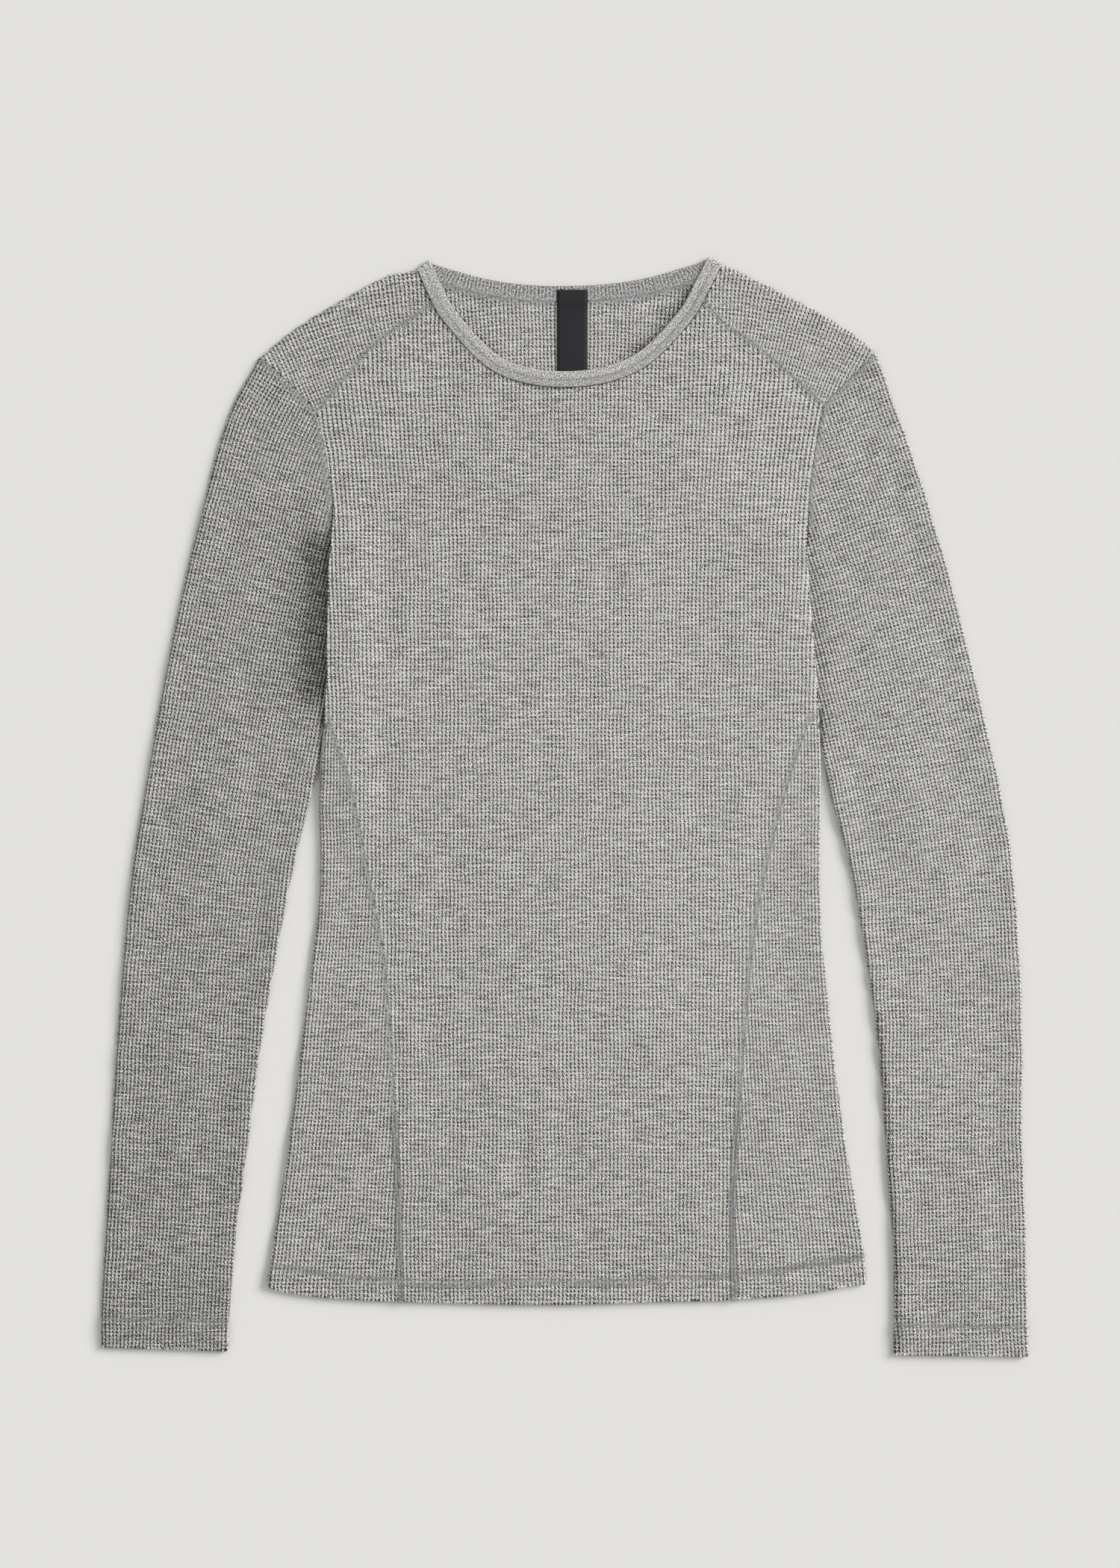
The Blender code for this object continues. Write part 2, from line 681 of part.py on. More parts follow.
def panel_side(side, armhole):
    """A body panel's side boundary, upwards: side seam, then the armhole points given."""
    seam = moved_left(seam_points(side, SIDE_PANEL_TOP + CORNER_GAP), side.sign * GAP / 2)
    corner = [(float(side.edge_x(SIDE_PANEL_TOP)), CORNER_HEIGHT)]
    return np.vstack([seam, corner, armhole])


def front_side(side):
    """The front panel's side boundary: its edge lies free over the sleeve at the underarm."""
    free_edge = side.lip[:-1]
    sewn = moved_left(side.armhole[:YOKE_SEAM_STATION + 1], side.sign * GAP / 2)
    return panel_side(side, np.vstack([free_edge, sewn]))


def back_side(side):
    """The back panel's side boundary: it ends at the armhole all the way."""
    count = len(UNDERARM_LEVELS) + YOKE_BACK_STATION
    sewn = moved_left(side.whole_armhole(), side.sign * GAP / 2)
    return panel_side(side, sewn[:count])


def yoke_seam(side):
    """The front yoke seam, from the neck to the armhole."""
    neck_end = NECK.front_outer()[side.neck_index(YOKE_NECK_SEGMENTS)]
    stations = [tuple(neck_end), *side.yoke_seam, side.armhole[YOKE_SEAM_STATION]]
    return even_points(smooth_line(stations), YOKE_SEAM_STEPS)


def back_yoke_seam(side):
    """The back yoke seam, from the neck to the armhole, under the shoulder fold."""
    line = even_points(side.shoulder, YOKE_SEAM_STEPS)
    line = moved_left(line, -side.sign * YOKE_BACK_WIDTH)
    line[0] = NECK.back_outer()[side.neck_index(YOKE_BACK_SEGMENTS)]
    line[-1] = side.armhole[YOKE_BACK_STATION]
    return line


def sewn_corner(line, distance, corner):
    """A seam line moved sideways, whose last point also keeps clear of the armhole."""
    moved = moved_left(line, distance)
    moved[-1] = moved[-1] + (np.asarray(corner) - line[-1])
    return moved


def follow_hem(plan):
    """Lay the two rows above the hem's edge parallel to it, where the turned-up part ends."""
    for row, rise in ((1, HEM_DEPTH - TURN_UP_STEP), (2, HEM_DEPTH)):
        plan[row, :, 1] = hem_y(plan[row, :, 0]) + rise


def panel_top(left_seam, neck, right_seam):
    """A body panel's upper boundary from left to right; the seams run from the neck outwards."""
    return np.vstack([left_seam[::-1], neck[1:-1], right_seam])


def body_panel(name, left, right, top, upper, collection):
    """A front or back panel between its side boundaries, hem and upper boundary."""
    top[0] = left[-1]
    top[-1] = right[-1]
    across = (top[:, 0] - top[0, 0]) / (top[-1, 0] - top[0, 0])
    heights = (left[:, 1] + right[:, 1]) / 2
    up = (heights - heights[0]) / (heights[-1] - heights[0])
    hem_x = left[0, 0] + across * (right[0, 0] - left[0, 0])
    bottom = np.column_stack([hem_x, hem_y(hem_x)])
    bottom[0] = left[0]
    bottom[-1] = right[0]
    plan = patch(bottom, top, left, right, across, up)
    follow_hem(plan)
    walls = body_wall(plan)
    return cloth_piece(name, leaf(plan, walls, "body", upper), walls, collection)


def make_front_panel(collection):
    """The front: hem, side seams, free edges over the sleeves, armholes, yoke seams and neck."""
    left = front_side(LEFT)
    right = front_side(RIGHT)
    neck = NECK.front_outer()[YOKE_NECK_SEGMENTS:-YOKE_NECK_SEGMENTS]
    seams = []
    for side, sewn in ((LEFT, left), (RIGHT, right)):
        line = yoke_seam(side)
        seams.append(sewn_corner(line, -side.sign * GAP / 2, sewn[-1]))
    left[-1] = seams[0][-1]
    right[-1] = seams[1][-1]
    top = panel_top(seams[0], neck, seams[1])
    return body_panel("front_panel", left, right, top, True, collection)


def make_back_panel(collection):
    """The back, flat on the surface: hem, side seams, armholes, back yoke seams and neck."""
    left = back_side(LEFT)
    right = back_side(RIGHT)
    neck = NECK.back_outer()[YOKE_BACK_SEGMENTS:-YOKE_BACK_SEGMENTS]
    seams = []
    for side, sewn in ((LEFT, left), (RIGHT, right)):
        line = back_yoke_seam(side)
        seams.append(sewn_corner(line, -side.sign * GAP / 2, sewn[-1]))
    left[-1] = seams[0][-1]
    right[-1] = seams[1][-1]
    top = panel_top(seams[0], neck, seams[1])
    return body_panel("back_panel", left, right, top, False, collection)


def make_side_panel(side, collection):
    """A long gore folded at the body's edge, from its slanted seam round to the back seam."""
    seam = moved_left(seam_points(side, SIDE_PANEL_TOP), -side.sign * GAP / 2)
    share = (seam[:, 1] - seam[0, 1]) / (seam[-1, 1] - seam[0, 1])
    hem_corner = float(hem_y(side.edge[0, 0]))
    edge_y = hem_corner + share * (SIDE_PANEL_TOP - hem_corner)
    edge = np.column_stack([side.edge_x(edge_y), edge_y])
    outward = -side.sign * left_normals(edge)
    walls = body_wall(edge)
    centres = fold_centres(edge, outward, walls, "body")
    across = np.linspace(0.0, 1.0, SIDE_LEAF_STEPS + 1)
    hem_x = seam[0, 0] + across * (centres[0, 0] - seam[0, 0])
    hem = np.column_stack([hem_x, hem_y(hem_x)])
    hem[-1] = centres[0]
    hem[0] = seam[0]
    top = seam[-1] + across[:, None] * (centres[-1] - seam[-1])
    plan = patch(hem, top, seam, centres, across, share)
    follow_hem(plan)
    plan_walls = body_wall(plan)
    upper = leaf(plan, plan_walls, "body", True)
    lower = leaf(plan, plan_walls, "body", False)
    rows = []
    row_walls = []
    for row in range(len(plan)):
        arc = fold_arc(upper[row, -1], lower[row, -1], outward[row])
        rows.append([*upper[row], *arc, *lower[row, ::-1]])
        fold_walls = [plan_walls[row, -1]] * len(arc)
        row_walls.append([*plan_walls[row], *fold_walls, *plan_walls[row, ::-1]])
    name = "side_panel_" + side.name
    return cloth_piece(name, np.array(rows), np.array(row_walls), collection)


def shoulder_fold(side):
    """The yoke's fold along the shoulder: its edge's outward directions and its centres."""
    edge = even_points(side.shoulder, YOKE_SEAM_STEPS)
    outward = side.sign * left_normals(edge)
    neck_outward = side.neck_outward()
    band_reach = BAND_FOLD_RADIUS + BAND_THICKNESS / 2
    edge[0] = NECK.front_outer()[side.neck_index(0)] + neck_outward * band_reach
    edge[0] += side.shoulder_direction * FOLD_CLEARANCE
    outward[0] = neck_outward
    edge[-1] = side.sewn_armhole(side.sign)[-1]
    outward[-1] = side.armhole_outward()
    walls = np.full(len(edge), WALL)
    return outward, fold_centres(edge, outward, walls, "body")


def make_shoulder_yoke(side, collection):
    """A yoke that wraps over the shoulder fold, from the front yoke seam to the back one."""
    outward, centres = shoulder_fold(side)
    armhole = side.sewn_armhole(side.sign)
    hidden = len(UNDERARM_LEVELS) - 1
    front_armhole = armhole[hidden + YOKE_SEAM_STATION:].copy()
    front_armhole[-1] = centres[-1]
    front_neck = np.array([
        NECK.front_outer()[side.neck_index(index)] for index in range(YOKE_NECK_SEGMENTS, -1, -1)
    ])
    front_neck[-1] = centres[0]
    seam = sewn_corner(yoke_seam(side), side.sign * GAP / 2, front_armhole[0])
    front_armhole[0] = seam[-1]
    front_neck[0] = seam[0]
    across = fractions(seam)
    up = np.linspace(0.0, 1.0, len(front_neck))
    upper = patch(seam, centres, front_neck, front_armhole, across, up)

    back_armhole = armhole[hidden + YOKE_BACK_STATION].copy()
    back_seam = sewn_corner(back_yoke_seam(side), side.sign * GAP / 2, back_armhole)
    back_neck = np.array([
        NECK.back_outer()[side.neck_index(index)] for index in range(YOKE_BACK_SEGMENTS + 1)
    ])
    back_neck[0] = centres[0]
    back_neck[-1] = back_seam[0]
    down = np.linspace(0.0, 1.0, YOKE_BACK_SEGMENTS + 1)
    back_side_line = centres[-1] + down[:, None] * (back_seam[-1] - centres[-1])
    lower = patch(centres, back_seam, back_neck, back_side_line, across, down)

    upper_points = leaf(upper, np.full(upper.shape[:2], WALL), "body", True)
    lower_points = leaf(lower, np.full(lower.shape[:2], WALL), "body", False)
    arcs = np.array([
        fold_arc(top, bottom, direction)
        for top, bottom, direction in zip(upper_points[-1], lower_points[0], outward)
    ])
    points = np.concatenate([upper_points, arcs.transpose(1, 0, 2), lower_points])
    name = "shoulder_yoke_" + side.name
    return cloth_piece(name, points, np.full(points.shape[:2], WALL), collection)


# --- Sleeves ---------------------------------------------------------------------------------

def sleeve_stops(line):
    """Distances of the sleeve's rows down one of its edges, with two rows in the cuff."""
    total = lengths(line)[-1]
    cuff_start = total - CUFF_DEPTH
    upper_rows = np.linspace(0.0, cuff_start, SLEEVE_ROWS + 1)
    return np.concatenate([upper_rows, [cuff_start + TURN_UP_STEP, total]])


def make_sleeve(side, collection):
    """A flattened tube from the armhole to the cuff, open at both ends."""
    row_walls = np.full(SLEEVE_ROWS + 3, WALL)
    row_walls[-2:] = TURN_UP_WALL
    armhole = side.sewn_armhole(-side.sign)
    outer = at_lengths(side.sleeve_outer, sleeve_stops(side.sleeve_outer))
    inner = at_lengths(side.sleeve_inner, sleeve_stops(side.sleeve_inner))
    outer_outward = side.sign * left_normals(outer)
    inner_outward = -side.sign * left_normals(inner)
    outer[0] = armhole[-1]
    outer_outward[0] = side.armhole_outward()
    outer_centres = fold_centres(outer, outer_outward, row_walls, "sleeve")
    inner_centres = fold_centres(inner, inner_outward, row_walls, "sleeve")
    armhole[0] = inner_centres[0]
    armhole[-1] = outer_centres[0]
    across = fractions(armhole)
    cuff = inner_centres[-1] + across[:, None] * (outer_centres[-1] - inner_centres[-1])
    down = (fractions(inner) + fractions(outer)) / 2
    plan = patch(armhole, cuff, inner_centres, outer_centres, across, down)
    walls = np.broadcast_to(row_walls[:, None], plan.shape[:2]).copy()
    upper = leaf(plan, walls, "sleeve", True)
    lower = leaf(plan, walls, "sleeve", False)
    rows = []
    ring_walls = []
    for row, wall in enumerate(row_walls):
        outer_arc = fold_arc(upper[row, -1], lower[row, -1], outer_outward[row])
        inner_arc = fold_arc(lower[row, 0], upper[row, 0], inner_outward[row])
        ring = [*upper[row], *outer_arc, *lower[row, ::-1], *inner_arc]
        rows.append(ring)
        ring_walls.append([wall] * len(ring))
    name = "sleeve_" + side.name
    ring_points = np.array(rows)
    return cloth_piece(name, ring_points, np.array(ring_walls), collection, closed_columns=True)


# --- Label -----------------------------------------------------------------------------------

def make_neck_label(collection):
    """A tape sewn to the back band, which hangs down the inside of the back."""
    half_width = LABEL_WIDTH / 2
    band_edge = float(NECK.back_outer()[:, 1].min())
    over_band = BAND_THICKNESS + GAP + LABEL_THICKNESS / 2
    over_back = WALL + GAP + LABEL_THICKNESS / 2
    levels = (
        (LABEL_TOP, over_band),
        (band_edge, over_band),
        (band_edge - LABEL_STEP, over_back),
        (LABEL_BOTTOM, over_back),
    )
    points = [
        (LABEL_CENTRE + across * half_width, y, z) for y, z in levels for across in (-1.0, 1.0)
    ]
    mesh = bpy.data.meshes.new("neck_label")
    mesh.from_pydata((np.array(points) * MM).tolist(), [], grid_faces(len(levels), 2))
    label = add_object("neck_label", mesh, LABEL_FINISH, collection)
    tape = label.modifiers.new("tape", "SOLIDIFY")
    tape.thickness = LABEL_THICKNESS * MM
    tape.offset = 0.0
    return label


def main():
    """Build the garment's ten pieces."""
    clear_scene()
    collection = bpy.data.collections.new("thermal_top")
    bpy.context.scene.collection.children.link(collection)
    make_front_panel(collection)
    make_back_panel(collection)
    for side in SIDES:
        make_side_panel(side, collection)
        make_shoulder_yoke(side, collection)
        make_sleeve(side, collection)
    make_neckband(collection)
    make_neck_label(collection)


main()
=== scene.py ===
"""Looks of the thermal top: its waffle knit, seams, binding, label and studio.

The plan is worked out in millimetres, with the neck towards +Y and left on the -X side. Each
cloth piece is a closed thin shell: a knitted relief face, a plain inner face and a round rim,
all three mapped from one plan domain that runs on round the folds.
"""
import logging
import math
from dataclasses import dataclass
from enum import Enum
from typing import Callable, NamedTuple, Sequence

import bmesh
import bpy
import numpy as np
from bpy.types import Material, Mesh, Node, NodeSocket, NodeTree, Object
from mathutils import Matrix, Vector
from mathutils.geometry import delaunay_2d_cdt
from numpy import ndarray as Array


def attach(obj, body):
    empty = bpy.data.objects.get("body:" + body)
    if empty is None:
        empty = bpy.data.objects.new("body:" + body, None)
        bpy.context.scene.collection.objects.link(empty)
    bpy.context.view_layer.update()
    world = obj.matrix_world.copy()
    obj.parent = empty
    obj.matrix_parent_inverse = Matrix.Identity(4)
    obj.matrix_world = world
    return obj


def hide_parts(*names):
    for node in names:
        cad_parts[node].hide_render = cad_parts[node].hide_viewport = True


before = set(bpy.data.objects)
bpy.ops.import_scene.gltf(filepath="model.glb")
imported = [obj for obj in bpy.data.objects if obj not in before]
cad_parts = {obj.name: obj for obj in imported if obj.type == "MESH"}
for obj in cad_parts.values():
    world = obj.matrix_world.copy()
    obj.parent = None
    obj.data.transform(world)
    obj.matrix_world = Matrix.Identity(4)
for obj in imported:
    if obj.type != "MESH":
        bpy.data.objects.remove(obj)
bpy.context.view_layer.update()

log = logging.getLogger("thermal_top")

MM = 0.001
BODY = "root"
TINY = 1e-9
CHUNK = 8000

# --- Cloth and folds, as in the construction --------------------------------------------------

WALL = 1.3
TURN_UP_WALL = 2.3
GAP = 0.3
HEM_DEPTH = 15.0
CUFF_DEPTH = 20.0
TURN_UP_STEP = 2.0
FOLD_RADIUS = 1.4
TUCKED_RADIUS = 0.9
FOLD_REACH = 22.0
UNFOLD_LENGTH = 45.0
SIDE_PANEL_TOP = 55.0
CORNER_HEIGHT = 55.5
CORNER_GAP = 0.3


class BodyLevel(NamedTuple):
    """The body's edges and side seams at one height."""

    y: float
    left_edge: float
    left_seam: float
    right_seam: float
    right_edge: float


BODY_LEVELS = tuple(map(BodyLevel._make, (
    (-320.0, -200.3, -109.0, 113.6, 203.3), (-290.0, -195.0, -110.3, 112.8, 199.5),
    (-255.0, -189.6, -111.0, 113.0, 193.2), (-190.0, -180.3, -114.6, 117.4, 183.2),
    (-110.0, -170.3, -119.8, 123.8, 174.3), (-70.0, -165.2, -126.6, 128.9, 171.8),
    (-35.0, -163.8, -133.4, 135.8, 170.8), (0.0, -164.4, -140.2, 144.4, 171.3),
    (30.0, -163.3, -147.5, 153.4, 171.3), (55.0, -161.2, -156.6, 162.0, 170.3),
)))


HEM_STATIONS = (
    (-200.3, -321.5), (-180.0, -326.0), (-140.0, -329.6), (-60.0, -332.2), (0.0, -332.8),
    (60.0, -331.0), (113.6, -329.4), (163.0, -325.2), (190.0, -320.4), (203.3, -318.8),
)


class UnderarmLevel(NamedTuple):
    """The front's free edge at the underarm, and how far in the armhole lies under it."""

    y: float
    left_edge: float
    right_edge: float
    tuck: float


UNDERARM_LEVELS = tuple(map(UnderarmLevel._make, (
    (62.0, -160.6, 169.9, 0.0), (80.0, -159.6, 168.9, 0.5), (105.0, -159.1, 166.9, 1.5),
    (130.0, -158.5, 164.6, 4.0), (155.0, -158.3, 162.9, 4.0), (178.0, -156.3, 162.3, 0.0),
)))


class SidePair(NamedTuple):
    """A station of a line that both sides have."""

    left_x: float
    left_y: float
    right_x: float
    right_y: float


ARMHOLE_STATIONS = tuple(map(SidePair._make, (
    (-156.3, 178.0, 162.3, 178.0), (-155.3, 202.0, 163.2, 202.0), (-158.0, 222.0, 165.3, 224.0),
    (-161.8, 245.0, 169.0, 247.0), (-166.8, 264.0, 174.0, 268.5), (-181.0, 280.0, 187.0, 283.0),
    (-194.5, 293.0, 199.5, 295.0), (-204.3, 301.0, 207.8, 305.0),
)))
YOKE_SEAM_STATION = 4
YOKE_BACK_STATION = 6
SHOULDER_STATIONS = tuple(map(SidePair._make, (
    (-99.8, 360.0, 105.3, 363.5), (-121.3, 354.6, 121.3, 356.5), (-149.3, 339.5, 160.8, 336.5),
    (-178.8, 321.5, 190.3, 319.0), (-204.3, 301.0, 207.8, 305.0),
)))
YOKE_SEAM_STATIONS = tuple(map(SidePair._make, (
    (-124.3, 312.5, 106.3, 324.0), (-144.3, 290.5, 131.3, 306.5),
)))


class SleeveStation(NamedTuple):
    """A pair of points on a sleeve's outer and inner edges."""

    outer_x: float
    outer_y: float
    inner_x: float
    inner_y: float


LEFT_SLEEVE = tuple(map(SleeveStation._make, (
    (-204.3, 301.0, -161.3, 62.0), (-225.3, 260.5, -162.2, 47.0), (-241.8, 202.5, -164.6, 25.5),
    (-255.8, 144.5, -170.0, 7.0), (-268.8, 80.5, -178.0, -26.5), (-282.8, 0.5, -186.0, -63.0),
    (-290.8, -52.5, -195.3, -113.0), (-297.8, -130.0, -202.8, -156.0),
    (-302.8, -207.5, -211.8, -224.5), (-307.3, -284.5, -219.8, -284.5),
    (-310.2, -334.0, -223.8, -334.0), (-310.3, -361.3, -225.3, -364.0),
)))
RIGHT_SLEEVE = tuple(map(SleeveStation._make, (
    (207.8, 305.0, 170.8, 62.0), (227.8, 250.0, 171.2, 44.5), (249.3, 184.0, 174.3, 23.0),
    (265.0, 126.0, 179.0, 1.5), (280.8, 60.5, 190.5, -40.0), (295.8, -9.5, 197.5, -78.0),
    (303.3, -78.5, 206.8, -138.5), (306.3, -150.0, 212.0, -190.0), (306.3, -224.5, 215.5, -245.0),
    (308.6, -284.5, 218.8, -285.0), (309.3, -334.0, 219.8, -334.0), (310.3, -367.5, 219.3, -366.5),
)))
FRONT_NECK_STATIONS = (
    (-93.8, 361.2), (-86.0, 344.0), (-75.5, 326.5), (-50.0, 299.5), (-25.0, 288.8), (4.0, 286.3),
    (32.0, 290.6), (56.0, 302.8), (80.5, 328.8), (91.0, 347.0), (99.5, 363.8),
)


class Swell(NamedTuple):
    """A soft rise of the upper leaves."""

    x: float
    y: float
    half_length: float
    half_width: float
    turn: float
    height: float


SWELLS = tuple(map(Swell._make, (
    (-60.0, 215.0, 70.0, 26.0, 35.0, 0.7), (75.0, 235.0, 60.0, 26.0, -40.0, 0.8),
    (-118.0, 110.0, 90.0, 20.0, 84.0, 0.7), (120.0, 105.0, 90.0, 20.0, 96.0, 0.8),
    (10.0, 40.0, 110.0, 34.0, 8.0, 0.5), (-40.0, -90.0, 120.0, 30.0, 86.0, 0.6),
    (60.0, -150.0, 110.0, 26.0, 97.0, 0.7), (-150.0, -220.0, 70.0, 22.0, 80.0, 0.6),
    (158.0, -230.0, 70.0, 22.0, 98.0, 0.7), (-30.0, -270.0, 90.0, 22.0, -6.0, 0.6),
    (-215.0, 170.0, 90.0, 18.0, 75.0, 0.8), (222.0, 150.0, 90.0, 18.0, 106.0, 0.8),
    (-240.0, -20.0, 80.0, 20.0, 60.0, 0.6), (250.0, -40.0, 80.0, 20.0, 118.0, 0.6),
    (-262.0, -240.0, 80.0, 18.0, 84.0, 0.7), (266.0, -230.0, 80.0, 18.0, 92.0, 0.7),
)))


class Part(Enum):
    """What a height belongs to: the body's leaves or a sleeve's."""

    BODY = "body"
    SLEEVE = "sleeve"


class Face(Enum):
    """The face of a cloth wall."""

    OUTER = 1.0
    INNER = -1.0


# --- Plan lines -------------------------------------------------------------------------------

def smooth_line(stations: Sequence, steps: int = 8) -> Array:
    """Smooth line through stations (Catmull-Rom).

    Args:
        stations: The (x, y) pairs.
        steps: Points for one stretch between two stations.

    Returns:
        The line's points, one a row.
    """
    knots = np.array(stations, float)
    knots = np.vstack([2 * knots[0] - knots[1], knots, 2 * knots[-1] - knots[-2]])
    points = []
    for a, b, c, d in zip(knots, knots[1:], knots[2:], knots[3:]):
        for step in range(steps):
            t = step / steps
            curve = 2 * b + (c - a) * t + (2 * a - 5 * b + 4 * c - d) * t ** 2
            points.append(0.5 * (curve + (3 * b - a - 3 * c + d) * t ** 3))
    points.append(knots[-2])
    return np.array(points)


def run_lengths(line: Array) -> Array:
    """Distance of each of a line's points from its start."""
    return np.concatenate([[0.0], np.cumsum(np.linalg.norm(np.diff(line, axis=0), axis=1))])


def at_lengths(line: Array, lengths: Array) -> Array:
    """The line's points at distances from its start."""
    run = run_lengths(line)
    return np.array([np.interp(lengths, run, line[:, axis]) for axis in range(line.shape[1])]).T


def even(line: Array, spacing: float) -> Array:
    """The line with points at most a spacing apart, its ends kept."""
    line = np.asarray(line, float)
    total = run_lengths(line)[-1]
    count = max(1, math.ceil(total / spacing))
    return at_lengths(line, np.linspace(0.0, total, count + 1))


def unit(vectors: Array) -> Array:
    """The vectors at length 1."""
    return vectors / np.linalg.norm(vectors, axis=-1, keepdims=True)


def left_normals(line: Array) -> Array:
    """Unit vectors to the left of a line's run."""
    run = np.gradient(np.asarray(line, float), axis=0)
    return unit(np.stack([-run[:, 1], run[:, 0]], axis=1))


def moved_left(line: Array, distance: float) -> Array:
    """The line moved sideways, to the left of its run."""
    return np.asarray(line, float) + left_normals(line) * distance


def smooth_step(value: Array, start: float, end: float) -> Array:
    """0 before start, 1 after end, and a soft ramp between them."""
    t = np.clip((np.asarray(value, float) - start) / (end - start), 0.0, 1.0)
    return t * t * (3.0 - 2.0 * t)


def nearest(line: Array, point: Array) -> int:
    """Index of the line's point that is nearest to a point."""
    return int(np.linalg.norm(line - point, axis=1).argmin())


def ended_at(line: Array, end: Array) -> Array:
    """The line up to where it comes nearest to a point, and then that point."""
    return np.vstack([line[:max(nearest(line, end), 1)], end])


def distances(points: Array, line: Array) -> Array:
    """Distance of each point from the nearest of a line's points."""
    return np.sqrt(((points[:, None] - line[None]) ** 2).sum(-1)).min(axis=1)


def signed_area(line: Array) -> float:
    """Area inside a closed line, less than 0 if it runs clockwise."""
    x, y = line[:, 0], line[:, 1]
    return float(np.dot(x, np.roll(y, -1)) - np.dot(y, np.roll(x, -1))) / 2


def blended(vectors: Array, direction: Array, share: Array) -> Array:
    """Unit vectors turned towards a direction, by a share for each row."""
    return unit(vectors * (1.0 - share)[:, None] + direction * share[:, None])


def in_chunks(work: Callable, points: Array, size: int = CHUNK) -> Array:
    """What a function gives for points, worked out for so many of them at a time."""
    parts = [work(points[start:start + size]) for start in range(0, len(points), size)]
    return np.concatenate(parts) if parts else np.zeros(0)


def shown(name: str, data: object) -> Object:
    """A new object in the scene."""
    thing = bpy.data.objects.new(name, data)
    bpy.context.scene.collection.objects.link(thing)
    return thing


class Side:
    """The plan lines of one side of the garment."""

    def __init__(self, name: str, sleeve: Sequence[SleeveStation], shoulder: tuple) -> None:
        """Work out the lines.

        Args:
            name: 'left' is -X and 'right' is +X.
            sleeve: The stations of the sleeve's two edges.
            shoulder: Direction along the shoulder fold, away from the neck.
        """
        self.name = name
        self.sign = -1.0 if name == "left" else 1.0
        self.shoulder_direction = np.array(shoulder)
        self.edge = self._line(BODY_LEVELS, name + "_edge", "y")
        self.seam = self._line(BODY_LEVELS, name + "_seam", "y")
        self.shoulder = self._line(SHOULDER_STATIONS, name + "_x", name + "_y")
        self.sleeve_outer = self._line(sleeve, "outer_x", "outer_y")
        self.sleeve_inner = self._line(sleeve, "inner_x", "inner_y")
        self.lip = self._pairs(UNDERARM_LEVELS, name + "_edge", "y")
        self.armhole = self._pairs(ARMHOLE_STATIONS, name + "_x", name + "_y")
        self.yoke_stations = self._pairs(YOKE_SEAM_STATIONS, name + "_x", name + "_y")

    @staticmethod
    def _pairs(table: Sequence, x_name: str, y_name: str) -> list[tuple[float, float]]:
        """Two named columns of a table."""
        return [(getattr(row, x_name), getattr(row, y_name)) for row in table]

    @classmethod
    def _line(cls, table: Sequence, x_name: str, y_name: str) -> Array:
        """A smooth line through two named columns of a table."""
        return smooth_line(cls._pairs(table, x_name, y_name))

    def seam_x(self, y: Array) -> Array:
        """The side seam's place at a height."""
        return np.interp(y, self.seam[:, 1], self.seam[:, 0])

    def edge_x(self, y: Array) -> Array:
        """The body's edge at a height."""
        return np.interp(y, self.edge[:, 1], self.edge[:, 0])

    def neck_outward(self) -> Array:
        """Direction out of the garment across the shoulder fold at the neck."""
        x, y = self.shoulder_direction
        return np.array([y, -x]) * (1.0 if self.sign < 0 else -1.0)

    def armhole_outward(self) -> Array:
        """Direction out of the garment along the armhole at the shoulder."""
        return unit(np.subtract(self.armhole[-1], self.armhole[-2]))

    def whole_armhole(self) -> Array:
        """The armhole from its lowest point, under the front's edge, up to the shoulder."""
        hidden = [(x - self.sign * row.tuck, y) for (x, y), row in zip(self.lip, UNDERARM_LEVELS)]
        return smooth_line(hidden + self.armhole[1:])

    def armhole_from(self, station: int) -> Array:
        """The armhole's upper part, from one of its stations up to the shoulder."""
        whole = self.whole_armhole()
        return whole[nearest(whole, self.armhole[station]):]


LEFT = Side("left", LEFT_SLEEVE, (-0.81, -0.586))
RIGHT = Side("right", RIGHT_SLEEVE, (0.874, -0.486))
SIDES = (LEFT, RIGHT)


# --- Heights ----------------------------------------------------------------------------------

HEM_LINE = smooth_line(HEM_STATIONS)


def hem_y(x: Array) -> Array:
    """The hem's lower edge."""
    return np.interp(x, HEM_LINE[:, 0], HEM_LINE[:, 1])


def single_wall(plan: Array) -> Array:
    """The cloth's thickness where nothing is turned up."""
    return np.full(plan.shape[:-1], WALL)


def turned_up_wall(above: Array, depth: float) -> Array:
    """The cloth's thickness at heights above an edge that is turned up so deep."""
    return WALL + (TURN_UP_WALL - WALL) * (1.0 - smooth_step(above, depth - TURN_UP_STEP, depth))


def body_wall(plan: Array) -> Array:
    """The cloth's thickness on the body: more where the hem is turned up."""
    return turned_up_wall(plan[..., 1] - hem_y(plan[..., 0]), HEM_DEPTH)


def sleeve_wall(side: Side) -> Callable[[Array], Array]:
    """The cloth's thickness on a sleeve, as a function of plan points."""
    outer, inner = side.sleeve_outer[-1], side.sleeve_inner[-1]
    across = unit(outer - inner)
    up = np.array([-across[1], across[0]])
    up = up if up[1] > 0 else -up
    return lambda plan: turned_up_wall((plan - inner) @ up, CUFF_DEPTH)


